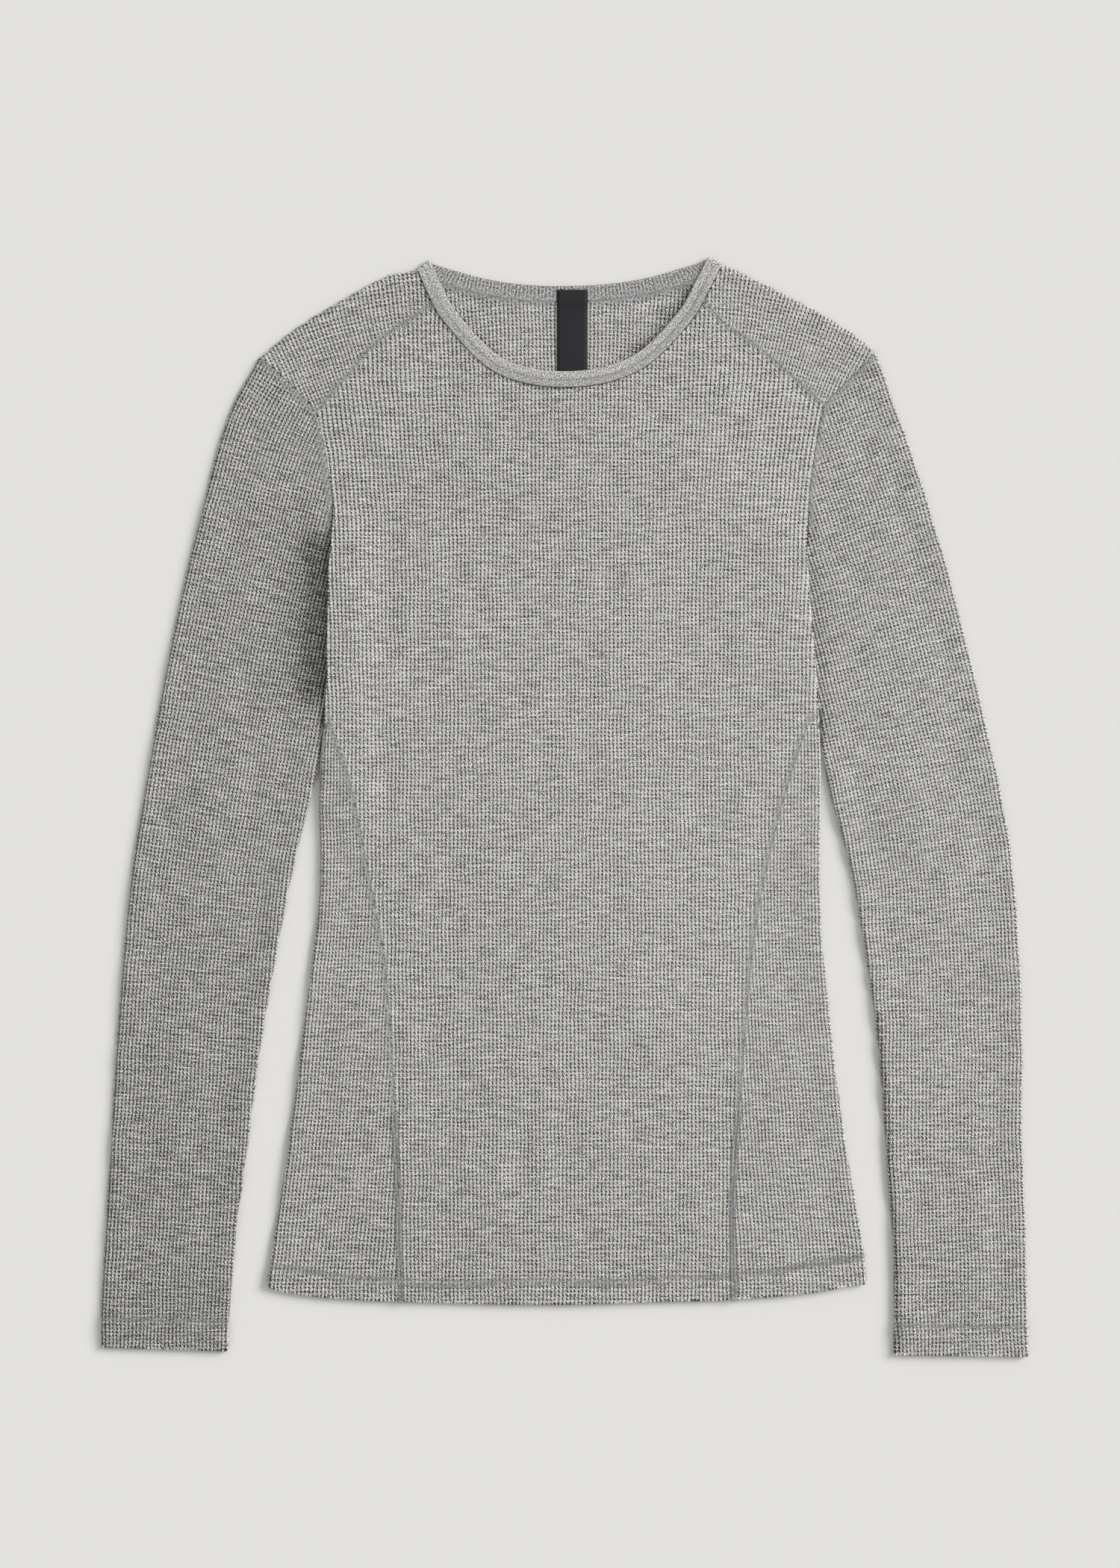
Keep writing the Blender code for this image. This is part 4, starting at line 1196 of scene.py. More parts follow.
class Outline:
    """A closed plan line put together from lines that run on from each other."""

    SPACING = 2.4
    CLOSEST = 0.3
    SHARPEST = 0.6

    @classmethod
    def joined(cls, *lines: Array) -> Array:
        """Join lines into a closed, counter-clockwise outline with even points."""
        points = []
        for line in lines:
            for point in even(np.asarray(line, float), cls.SPACING):
                if not points or np.linalg.norm(point - points[-1]) > cls.CLOSEST:
                    points.append(point)
        if np.linalg.norm(points[0] - points[-1]) < cls.CLOSEST:
            points.pop()
        outline = np.array(points)
        return outline if signed_area(outline) > 0 else outline[::-1]

    @classmethod
    def inset(cls, outline: Array, amounts: Array) -> Array:
        """The outline moved inwards by an amount at each point."""
        before = unit(outline - np.roll(outline, 1, axis=0))
        after = unit(np.roll(outline, -1, axis=0) - outline)
        inward = np.column_stack([-before[:, 1] - after[:, 1], before[:, 0] + after[:, 0]])
        cosine = np.clip(np.linalg.norm(inward, axis=1) / 2, cls.SHARPEST, 1.0)
        return outline + unit(inward) * (amounts / cosine)[:, None]


# --- Nodes ------------------------------------------------------------------------------------

def operator(operation: str, swapped: bool = False) -> Callable:
    """An operator method that adds a Math node; swapped for the reflected form."""
    def method(self: "Socket", other: "Socket | float") -> "Socket":
        """This value and another through the node."""
        return self.graph.math(operation, *((other, self) if swapped else (self, other)))

    return method


class Socket:
    """A node's value that takes part in ordinary arithmetic."""

    __add__, __radd__ = operator("ADD"), operator("ADD", True)
    __sub__, __rsub__ = operator("SUBTRACT"), operator("SUBTRACT", True)
    __mul__, __rmul__ = operator("MULTIPLY"), operator("MULTIPLY", True)
    __truediv__, __rtruediv__ = operator("DIVIDE"), operator("DIVIDE", True)
    __pow__ = operator("POWER")

    def __init__(self, graph: "NodeGraph", output: NodeSocket) -> None:
        """Keep the node output that the value comes from."""
        self.graph = graph
        self.output = output

    def cosine(self) -> "Socket":
        """The value's cosine."""
        return self.graph.math("COSINE", self)

    def absolute(self) -> "Socket":
        """The value without its sign."""
        return self.graph.math("ABSOLUTE", self)

    def fraction(self) -> "Socket":
        """What is left of the value past its whole part."""
        return self.graph.math("FRACT", self)

    def limited(self, low: float, high: float) -> "Socket":
        """The value held between two limits."""
        return self.graph.math("MINIMUM", self.graph.math("MAXIMUM", self, low), high)

    def between(self, low: float, high: float) -> "Socket":
        """0 below low, 1 above high, and a smooth ramp between them."""
        inputs = {"Value": self, "From Min": low, "From Max": high}
        node = self.graph.node("ShaderNodeMapRange", inputs, interpolation_type="SMOOTHSTEP")
        return Socket(self.graph, node.outputs["Result"])


class NodeGraph:
    """Adds nodes to a tree."""

    def __init__(self, tree: NodeTree) -> None:
        """Keep the tree."""
        self.tree = tree

    def node(self, kind: str, inputs: dict | None = None, **settings: object) -> Node:
        """Add a node.

        Args:
            kind: Its type.
            inputs: Values or sockets for its inputs, by name or index.
            settings: Its properties, set first.

        Returns:
            The node.
        """
        node = self.tree.nodes.new(kind)
        for key, value in settings.items():
            setattr(node, key, value)
        for key, value in (inputs or {}).items():
            self.feed(node.inputs[key], value)
        return node

    def feed(self, target: NodeSocket, value: object) -> None:
        """Link a socket to an input, or set the input's own value."""
        value = value.output if isinstance(value, Socket) else value
        if isinstance(value, NodeSocket):
            self.tree.links.new(value, target)
        else:
            target.default_value = value

    def out(self, kind: str, inputs: dict | None = None, **settings: object) -> NodeSocket:
        """Add a node and take its first output."""
        return self.node(kind, inputs, **settings).outputs[0]

    def math(self, operation: str, *values: Socket | float) -> Socket:
        """Add a Math node."""
        inputs = dict(enumerate(values))
        return Socket(self, self.out("ShaderNodeMath", inputs, operation=operation))

    def axes(self, vector: NodeSocket) -> list[Socket]:
        """A vector's three parts."""
        parts = self.node("ShaderNodeSeparateXYZ", {0: vector})
        return [Socket(self, output) for output in parts.outputs]


class ShaderGraph(NodeGraph):
    """Builds one material's nodes."""

    def __init__(self, name: str) -> None:
        """Make the material with a bare shader."""
        self.material = bpy.data.materials.new(name)
        self.material.use_nodes = True
        super().__init__(self.material.node_tree)
        self.shader = self.tree.nodes["Principled BSDF"]

    def scaled(self, vector: NodeSocket, *factors: float) -> NodeSocket:
        """A vector times three factors."""
        return self.out("ShaderNodeVectorMath", {0: vector, 1: factors}, operation="MULTIPLY")

    def mixed(self, share: Socket | float, first: object, second: object) -> NodeSocket:
        """A colour between two colours."""
        inputs = {0: share, 6: first, 7: second}
        return self.node("ShaderNodeMix", inputs, data_type="RGBA", clamp_factor=True).outputs[2]

    def brightened(self, colour: object, factor: Socket) -> NodeSocket:
        """A colour times a value."""
        grey = self.out("ShaderNodeCombineColor", {0: factor, 1: factor, 2: factor})
        inputs = {0: 1.0, 6: colour, 7: grey}
        return self.node(
            "ShaderNodeMix", inputs, data_type="RGBA", blend_type="MULTIPLY").outputs[2]

    def noise(self, vector: NodeSocket, scale: float, detail: float = 2.0,
              roughness: float = 0.5) -> Socket:
        """A noise value round 0.5."""
        return Socket(self, self.out("ShaderNodeTexNoise", {
            "Vector": vector, "Scale": scale, "Detail": detail, "Roughness": roughness}))

    def object_place(self) -> NodeSocket:
        """The shaded point in the piece's own space."""
        return self.node("ShaderNodeTexCoord").outputs["Object"]

    def knit_place(self) -> NodeSocket:
        """The shaded point on the knit."""
        return self.out("ShaderNodeUVMap", uv_map="knit")

    def attribute(self, name: str) -> Socket:
        """A named value of the mesh."""
        return Socket(self, self.node("ShaderNodeAttribute", attribute_name=name).outputs[2])

    def finished(self, colour: object, height: Socket | None = None, strength: float = 0.5,
                 distance: float = 0.0004, **constants: float) -> Material:
        """Feed the shader.

        Args:
            colour: The base colour.
            height: What the bump comes from, if there is one.
            strength: The bump's strength.
            distance: The bump's depth.
            constants: The shader's own values, spaces in their names written as underscores.

        Returns:
            The material.
        """
        self.feed(self.shader.inputs["Base Color"], colour)
        if height is not None:
            bump = self.out("ShaderNodeBump", {
                "Height": height, "Strength": strength, "Distance": distance})
            self.feed(self.shader.inputs["Normal"], bump)
        for key, value in constants.items():
            self.shader.inputs[key.replace("_", " ")].default_value = value
        return self.material


# --- Finishes ---------------------------------------------------------------------------------

TURN = 2 * math.pi
GAMMA = 2.2
Colour = tuple[float, float, float, float]


@dataclass(frozen=True)
class KnitFinish:
    """Heathered waffle knit, with painted shade and painted light in its base colour."""

    name: str
    warm: Colour = (0.91, 0.855, 0.765, 1.0)
    cool: Colour = (0.81, 0.84, 0.87, 1.0)
    blend_scale: float = 900.0
    blend_range: tuple[float, float] = (0.35, 0.65)
    wale: float = 2.61
    course: float = 2.58
    slant: float = 0.24
    # These set the painted shade that darkens the waffle's valleys and pits.
    valley_power: float = 2.2
    bar_shade: float = 0.38
    hole_shade: float = 0.84
    base_tone: float = 0.89
    darkest: float = 0.16
    streak: float = 2.0
    streak_scale: float = 1400.0
    fibre: float = 2.2
    fibre_scale: float = 2500.0
    yarn: float = 0.8
    yarn_scale: float = 420.0
    yarn_run: float = 0.16
    wobble: float = 0.06
    # Strength of the painted highlight where the ribs cross the bars.
    gleam: float = 0.05
    cloud: float = 0.1
    cloud_scale: float = 22.0
    # The next three fields paint light and shade: lighter towards +X, the side the key light comes
    # from, and darker with distance above and below the height brightest, in metres.
    painted_light_across: float = 0.18
    painted_shade_lengthwise: float = 0.38
    brightest: float = 0.05
    # How strongly the painted shade lines darken the base colour.
    crease_shade: float = 0.5
    loop_lean: float = 1.6

    def material(self) -> Material:
        """Build the material."""
        graph = ShaderGraph(self.name)
        place = graph.knit_place()
        across, along, _ = graph.axes(place)
        across = across / (self.wale * MM)
        along = along / (self.course * MM)
        streaks = graph.noise(graph.scaled(place, 1.0, 0.7, 1.0), self.streak_scale, 1.0)
        fibre = graph.noise(place, self.fibre_scale, 1.0)
        yarn = graph.noise(graph.scaled(place, self.yarn_run, 1.0, 1.0), self.yarn_scale, 2.0, 0.7)
        blend = graph.noise(graph.object_place(), self.blend_scale, 2.0, 0.7)
        cloud = graph.noise(graph.object_place(), self.cloud_scale, 2.0)
        lean = (along.fraction() - 0.5) * self.slant + (streaks - 0.5) * self.wobble
        # Painted shade in the waffle's valleys and pits, on top of the real relief.
        valley = (0.5 - ((across + lean) * TURN).cosine() * 0.5) ** self.valley_power
        hole = 0.5 - (along * TURN).cosine() * 0.5
        depth = valley * (self.bar_shade + hole * (1.0 - self.bar_shade))
        melange = (streaks - 0.5) * self.streak + (fibre - 0.5) * self.fibre
        melange = melange + (yarn - 0.5) * self.yarn
        # Painted highlight where the ribs cross the bars.
        crossing_highlight = (along * TURN).cosine() * (0.5 + (across * TURN).cosine() * 0.5) * self.gleam
        x, y, _ = graph.axes(graph.object_place())
        # Random cloud of tone, with painted light towards +X and painted shade above and below the
        # brightest height.
        drift = x * self.painted_light_across + (cloud - 0.5) * self.cloud
        drift = drift - (y - self.brightest) ** 2.0 * self.painted_shade_lengthwise
        # Painted shade lines, and painted light where their shade is negative.
        drift = drift - graph.attribute("crease") * self.crease_shade
        tone = self.base_tone + melange + crossing_highlight + drift - depth * self.hole_shade
        colour = graph.mixed(blend.between(*self.blend_range), self.warm, self.cool)
        colour = graph.brightened(colour, tone.limited(self.darkest, 1.0) ** GAMMA)
        legs = ((across * 2.0).fraction() - 0.5).absolute() * self.loop_lean
        stitch = ((along * 2.0 + legs) * TURN).cosine()
        height = stitch * 0.3 + (fibre - 0.5) * 1.6 + (streaks - 0.5) * 1.4
        return graph.finished(colour, height, Roughness=0.92, Sheen_Weight=0.12,
                              Sheen_Roughness=0.5, Specular_IOR_Level=0.2)


@dataclass(frozen=True)
class BindingFinish:
    """The finer knit of the neck binding, with the waffle's wales on its back part."""

    name: str = "binding"
    colour: Colour = (0.86, 0.85, 0.825, 1.0)
    wale: float = 2.5
    base_tone: float = 0.715
    darkest: float = 0.2
    streak: float = 1.8
    streak_scale: float = 1400.0
    fibre: float = 2.0
    fibre_scale: float = 2400.0
    # Strength of the painted shade in the front's middle groove.
    groove_shade: float = 0.25
    # Strength of the painted shade in the back part's waffle valleys.
    valley_shade: float = 0.36

    def material(self) -> Material:
        """Build the material."""
        graph = ShaderGraph(self.name)
        place = graph.knit_place()
        across, along = [part / (self.wale * MM) for part in graph.axes(place)[:2]]
        streaks = graph.noise(graph.scaled(place, 0.6, 1.0, 1.0), self.streak_scale, 1.0)
        fibre = graph.noise(place, self.fibre_scale, 1.0)
        valley = 0.5 - (along * TURN).cosine() * 0.5
        hole = 0.8 + (across * TURN).cosine() * 0.2
        # Painted shade darkening the front's middle groove.
        shade = graph.attribute("groove") * self.groove_shade
        # Painted shade darkening the waffle's valleys on the back part.
        shade = shade + graph.attribute("waffle") * valley * hole * self.valley_shade
        tone = self.base_tone + (streaks - 0.5) * self.streak + (fibre - 0.5) * self.fibre - shade
        colour = graph.brightened(self.colour, tone.limited(self.darkest, 1.0) ** GAMMA)
        height = (fibre - 0.5) * 1.4 + (streaks - 0.5) * 1.4
        return graph.finished(
            colour, height, Roughness=0.9, Sheen_Weight=0.12, Specular_IOR_Level=0.2)


@dataclass(frozen=True)
class ThreadFinish:
    """Sewing thread."""

    name: str
    colour: Colour
    fibre_scale: float = 1100.0

    def material(self) -> Material:
        """Build the material."""
        graph = ShaderGraph(self.name)
        fibre = graph.noise(graph.object_place(), self.fibre_scale, 1.0)
        colour = graph.brightened(self.colour, (fibre * 2.2 - 0.15).limited(0.15, 1.3))
        return graph.finished(colour, Roughness=0.7, Sheen_Weight=0.1, Specular_IOR_Level=0.3)


@dataclass(frozen=True)
class LabelFinish:
    """Dark woven satin tape."""

    name: str = "label_tape"
    colour: Colour = (0.015, 0.0155, 0.018, 1.0)
    weave: float = 0.45
    fibre_scale: float = 500.0

    def material(self) -> Material:
        """Build the material."""
        graph = ShaderGraph(self.name)
        place = graph.object_place()
        pitch = self.weave * MM
        across, along = [(part * (TURN / pitch)).cosine() for part in graph.axes(place)[:2]]
        fibre = graph.noise(graph.scaled(place, 1.0, 6.0, 1.0), self.fibre_scale, 2.0, 0.6)
        colour = graph.brightened(self.colour, 0.85 + fibre * 0.3)
        return graph.finished(colour, across * along * 0.5 + fibre * 0.4, 0.3, 0.0001,
                              Roughness=0.62, Specular_IOR_Level=0.25)


@dataclass(frozen=True)
class FloorFinish:
    """Plain pale board."""

    name: str = "floor"
    colour: Colour = (0.73, 0.727, 0.716, 1.0)

    def material(self) -> Material:
        """Build the material."""
        return ShaderGraph(self.name).finished(self.colour, Roughness=0.9, Specular_IOR_Level=0.1)


# --- Stitches ---------------------------------------------------------------------------------

@dataclass(frozen=True)
class StitchKind:
    """The sizes of one kind of stitch run, in millimetres and degrees."""

    pitch: float
    length: float
    radius: float
    slant: float
    arch: float
    jitter: float


FLATLOCK = StitchKind(1.7, 6.2, 0.14, slant=50.0, arch=0.2, jitter=26.0)
SIDE_LOCK = StitchKind(1.5, 6.0, 0.14, slant=48.0, arch=0.2, jitter=20.0)
COVER = StitchKind(1.1, 6.2, 0.14, slant=56.0, arch=0.2, jitter=26.0)
BINDING_COVER = StitchKind(1.3, 8.0, 0.13, slant=54.0, arch=0.1, jitter=32.0)
BINDING_HATCH = StitchKind(1.8, 4.6, 0.13, slant=58.0, arch=0.1, jitter=32.0)
NEEDLE = StitchKind(2.4, 1.9, 0.17, slant=0.0, arch=0.05, jitter=6.0)


class StitchTree(NodeGraph):
    """A Geometry Nodes tree that lays one short thread on every point of a mesh."""

    INPUTS = ("Length", "Radius", "Slant", "Arch", "Jitter")
    SEED = 11
    SIDES = 5
    STEPS = 5
    CREST = 0.6

    def __init__(self) -> None:
        """Build the tree."""
        super().__init__(bpy.data.node_groups.new("stitch_threads", "GeometryNodeTree"))
        faces = self.tree.interface
        kinds = {"Geometry": "Geometry", **dict.fromkeys(self.INPUTS, "Float"),
                 "Material": "Material"}
        for name, kind in kinds.items():
            faces.new_socket(name=name, in_out="INPUT", socket_type="NodeSocket" + kind)
        faces.new_socket(name="Geometry", in_out="OUTPUT", socket_type="NodeSocketGeometry")
        outputs = self.node("NodeGroupInput").outputs
        self.given = {name: Socket(self, outputs[name]) for name in kinds}
        self._fill()

    def _thread(self) -> NodeSocket:
        """One thread along X, arched and round."""
        half = self.given["Length"] * 0.5
        line = self.out("GeometryNodeCurvePrimitiveLine", {
            "Start": self.out("ShaderNodeCombineXYZ", {0: half * -1.0}),
            "End": self.out("ShaderNodeCombineXYZ", {0: half})})
        fine = self.out("GeometryNodeResampleCurve", {"Curve": line, "Count": self.STEPS})
        share = self.axes(self.out("GeometryNodeInputPosition"))[0] / half
        rise = (self.CREST - share * share) * self.given["Arch"]
        bent = self.out("GeometryNodeSetPosition", {
            "Geometry": fine, "Offset": self.out("ShaderNodeCombineXYZ", {2: rise})})
        ring = self.out("GeometryNodeCurvePrimitiveCircle", {
            "Resolution": self.SIDES, "Radius": self.given["Radius"]})
        return self.out("GeometryNodeCurveToMesh", {
            "Curve": bent, "Profile Curve": ring, "Fill Caps": True})

    def _named(self, name: str) -> NodeSocket:
        """A vector that the points carry."""
        return self.out(
            "GeometryNodeInputNamedAttribute", {"Name": name}, data_type="FLOAT_VECTOR")

    def _fill(self) -> None:
        """Lay the threads, realize them and give them their material."""
        faced = self.out(
            "FunctionNodeAxesToRotation", {0: self._named("up"), 1: self._named("along")},
            primary_axis="Z", secondary_axis="X")
        slant, jitter = self.given["Slant"], self.given["Jitter"]
        angle = self.node(
            "FunctionNodeRandomValue",
            {"Min": slant - jitter, "Max": slant + jitter, "Seed": self.SEED}, data_type="FLOAT")
        turn = self.out("FunctionNodeAxisAngleToRotation", {
            "Axis": (0.0, 0.0, 1.0), "Angle": angle.outputs["Value"]})
        rotation = self.out("FunctionNodeRotateRotation", {0: faced, 1: turn},
                            rotation_space="LOCAL")
        laid = self.out("GeometryNodeInstanceOnPoints", {
            "Points": self.given["Geometry"], "Instance": self._thread(), "Rotation": rotation})
        real = self.out("GeometryNodeRealizeInstances", {0: laid})
        smooth = self.out("GeometryNodeSetShadeSmooth", {0: real})
        dressed = self.out("GeometryNodeSetMaterial", {
            "Geometry": smooth, "Material": self.given["Material"]})
        self.node("NodeGroupOutput", {0: dressed})

    def identifier(self, name: str) -> str:
        """The identifier of a named input."""
        return next(item.identifier for item in self.tree.interface.items_tree
                    if item.name == name and item.in_out == "INPUT")


class Seams:
    """Makes the garment's stitch runs."""

    def __init__(self) -> None:
        """Build the tree."""
        self.tree = StitchTree()

    def run(self, name: str, surface: Surface, line: Array, kind: StitchKind,
            material: Material, mirrored: bool = False, lift: float = 0.3) -> Object:
        """Lay one run of stitches.

        Args:
            name: The piece's name.
            surface: What the stitches lie on.
            line: The run's middle, in plan.
            kind: The stitches' sizes.
            material: The thread.
            mirrored: Slant the stitches the other way.
            lift: Height of the threads' ends over the surface.

        Returns:
            The piece.
        """
        middles, normals, walls = surface.middles(even(line, kind.pitch))
        points = middles + normals * (walls / 2 + lift)[:, None]
        slant = -kind.slant if mirrored else kind.slant
        return self.threads(name, points, normals, np.gradient(points, axis=0), kind, slant,
                            material)

    def threads(self, name: str, points: Array, up: Array, along: Array, kind: StitchKind,
                slant: float, material: Material) -> Object:
        """Lay threads on points in space.

        Args:
            name: The piece's name.
            points: The threads' middles, in millimetres.
            up: Directions out of the cloth.
            along: Directions of the run.
            kind: The stitches' sizes.
            slant: Turn of each thread out of the run, in degrees.
            material: The thread.

        Returns:
            The piece, as a plain mesh.
        """
        mesh = bpy.data.meshes.new(name + "_points")
        mesh.from_pydata((points * MM).tolist(), [], [])
        MeshMaker.attribute(mesh, "up", unit(up))
        MeshMaker.attribute(mesh, "along", unit(along))
        carrier = shown(name + "_points", mesh)
        modifier = carrier.modifiers.new("stitches", "NODES")
        modifier.node_group = self.tree.tree
        values = {
            "Length": kind.length * MM, "Radius": kind.radius * MM, "Arch": kind.arch * MM,
            "Slant": math.radians(slant), "Jitter": math.radians(kind.jitter),
            "Material": material,
        }
        for key, value in values.items():
            modifier[self.tree.identifier(key)] = value
        graph = bpy.context.evaluated_depsgraph_get()
        plain = bpy.data.meshes.new_from_object(carrier.evaluated_get(graph))
        plain.name = name
        for key in ("up", "along"):
            if key in plain.attributes:
                plain.attributes.remove(plain.attributes[key])
        bpy.data.objects.remove(carrier)
        return shown(name, plain)


# --- Pieces -----------------------------------------------------------------------------------

class Wardrobe:
    """What all pieces share: the body's heights, finishes and the stitch maker."""

    LOW = (-212.0, -335.0)
    HIGH = (212.0, 372.0)

    def __init__(self) -> None:
        """Work out the heights and build the materials."""
        self.body = HeightField(Part.BODY, body_wall, self.LOW, self.HIGH)
        self.knit = KnitFinish("knit_body").material()
        # The sleeves' lower base tone and steeper lightening towards +X are painted shade and
        # light, darkest on the left sleeve.
        self.sleeve_knit = KnitFinish(
            "knit_sleeves", wale=2.5, course=2.55, base_tone=0.845, painted_light_across=0.22).material()
        self.binding = BindingFinish().material()
        self.label = LabelFinish().material()
        self.thread = ThreadFinish("thread_grey", (0.54, 0.537, 0.552, 1.0)).material()
        self.hem_thread = ThreadFinish("thread_hem", (0.36, 0.356, 0.366, 1.0)).material()
        self.dark_thread = ThreadFinish("thread_dark", (0.09, 0.085, 0.09, 1.0)).material()
        self.seams = Seams()


@dataclass(frozen=True)
class Crease:
    """A soft line of painted shade on the cloth, or of painted light if the shade is negative."""

    stations: tuple[tuple[float, float], ...]
    width: float
    shade: float
    spacing: float = 4.0

    def at(self, plan: Array) -> Array:
        """The painted shade's strength at plan points."""
        line = even(smooth_line(self.stations), self.spacing)
        return self.shade * np.exp(-(distances(plan, line) / self.width) ** 2)

    @staticmethod
    def mark(mesh: Mesh, painted_shades: Sequence["Crease"]) -> None:
        """Store the painted shade lines' strength on a mesh."""
        places = np.empty(len(mesh.vertices) * 3, dtype="f")
        mesh.vertices.foreach_get("co", places)
        plan = places.reshape(-1, 3)[:, :2].astype(float) / MM
        MeshMaker.attribute(mesh, "crease", in_chunks(
            lambda part: sum(crease.at(part) for crease in painted_shades), plan))


# Painted shade on the sleeves: a broad band beside the front's lifted edge, and thin lines and
# strips along the inner edge where the lower leaf shows in the upper leaf's shadow.
SLEEVE_PAINTED_SHADE = {
    "left": (
        Crease(((-166.0, 172.0), (-167.0, 130.0), (-167.6, 100.0), (-168.0, 80.0)), 11.0, 0.46),
        Crease(((-169.0, 168.0), (-170.5, 120.0), (-172.0, 88.0)), 28.0, 0.21),
        Crease(((-214.5, -240.0), (-219.5, -285.0), (-220.3, -332.0)), 1.3, 0.6),
    ),
    "right": (
        Crease(((164.0, 196.0), (166.0, 150.0), (169.5, 100.0), (172.5, 48.0)), 6.0, 0.25),
        Crease(((210.3, -138.5), (216.3, -199.0), (220.3, -259.5), (223.3, -334.0),
                (223.8, -362.0)), 1.3, 0.6),
        Crease(((208.6, -138.5), (213.0, -199.0), (217.6, -259.5), (221.0, -334.0),
                (221.4, -362.0)), 2.2, 0.25),
    ),
}
# Painted light along the front's right edge over the sleeve, where its rim faces the key light,
# and painted shade along its left edge.
FRONT_PAINTED_LIGHT_AND_SHADE = (
    Crease(((170.0, 62.0), (166.9, 105.0), (164.6, 130.0), (162.9, 155.0), (162.3, 175.0)),
           4.0, -0.16),
    Crease(((-160.6, 62.0), (-159.1, 105.0), (-158.5, 130.0), (-158.3, 150.0)), 3.5, 0.14),
)
# Painted shadow that the front binding casts onto the inside of the back, wide on the right and
# narrow on the left.
BACK_PAINTED_SHADOWS = (
    Crease(((84.0, 356.0), (86.0, 342.0), (78.0, 328.0), (64.0, 312.0), (52.0, 304.0)), 9.0, 0.55),
    Crease(((-90.0, 354.0), (-82.0, 334.0), (-68.0, 316.0), (-50.0, 302.0)), 5.5, 0.4),
)


class ClothPiece:
    """A cloth piece with its shell and its stitches."""

    SLOT = "knit"
    flat = (0.0, 0.0)       # width and length of the cut, in metres
    TURNED_UP = 0.0         # cloth past the outline, in square millimetres
    LEAVES = 1.0

    def __init__(self, wardrobe: Wardrobe, node: str, seed: int) -> None:
        """Keep the shared things.

        Args:
            wardrobe: Heights, finishes and the stitch maker.
            node: The construction node that the piece stands for.
            seed: Seed of its knit.
        """
        self.wardrobe = wardrobe
        self.node = node
        self.seed = seed
        self.stitches: list[Object] = []
        self.piece: Object | None = None
        self.rests_on: list[str] = []

    def area(self) -> float:
        """Area of the piece's cut with what is turned up, in square millimetres."""
        return self.region.area * self.LEAVES + self.TURNED_UP

    def declare(self) -> None:
        """Attach the piece and its stitches to the body and hide the construction part it stands
        for.
        """
        for thing in [self.piece, *self.stitches]:
            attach(thing, BODY)
        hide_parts(self.node)
        self.area() * MM * MM

    def sew(self, name: str, surface: Surface, line: Array, kind: StitchKind,
            material: Material, mirrored: bool = False, lift: float = 0.3) -> None:
        """Lay a run of stitches that goes with this piece."""
        run = self.wardrobe.seams.run(name, surface, line, kind, material, mirrored, lift)
        self.stitches.append(run)

    def show(self, mesh: Mesh, material: Material, *rests_on: str) -> None:
        """Put the piece into the scene with its material."""
        mesh.materials.clear()
        mesh.materials.append(material)
        self.piece = shown(mesh.name, mesh)
        self.rests_on = list(rests_on)

    def faces(self, surface: Surface, outline: Array, grain: Grain,
              windows: Sequence[Region] = (), sewn: Callable | None = None) -> Shell:
        """Start the piece's shell.

        Args:
            surface: Maps the domain.
            outline: The domain's counter-clockwise outline.
            grain: How the knit runs.
            windows: Where the relief is worked out; all over if there are none.
            sewn: Share of the relief that is left at domain points, of 1.

        Returns:
            The shell with its relief face and its plain one.
        """
        self.region = Region(outline)
        shell = Shell(surface, KnitLattice(grain, Waffle(), self.seed))
        shell.relief_face(outline, windows, sewn)
        shell.plain_face(outline, Face.INNER)
        return shell

    def finished(self, shell: Shell, outline: Array, painted_shades: Sequence[Crease] = ()) -> Mesh:
        """Close the shell with a rim all round and make the piece's mesh, with any painted shade
        lines on it.
        """
        shell.rim(outline, True)
        mesh = shell.mesh(self.node + "_knit")
        if painted_shades:
            Crease.mark(mesh, painted_shades)
        return mesh


class SidedPiece(ClothPiece):
    """A piece that each side has."""

    KIND = ""

    def __init__(self, wardrobe: Wardrobe, side: Side, seed: int) -> None:
        """Keep the side."""
        super().__init__(wardrobe, self.KIND + side.name, seed)
        self.side = side


@dataclass(frozen=True)
class NeckSizes:
    """Sizes of the neck opening and its binding."""

    width: float = 10.5
    thickness: float = 2.3
    fold_radius: float = 1.35
    settle_start: float = 18.0
    settle_end: float = 48.0
    depth: float = 18.9
    power: float = 2.3
    crowding: float = 0.35
    yoke_run: float = 25.0
    back_yoke_share: float = 1.0 - 4.0 / 14.0
    turn_length: float = 30.0
    front_steps: int = 150
    back_steps: int = 110
    fold_steps: int = 12
    label_centre: float = 5.0
    label_relief: float = 16.0
    label_relief_end: float = 48.0
    label_thickness: float = 0.6


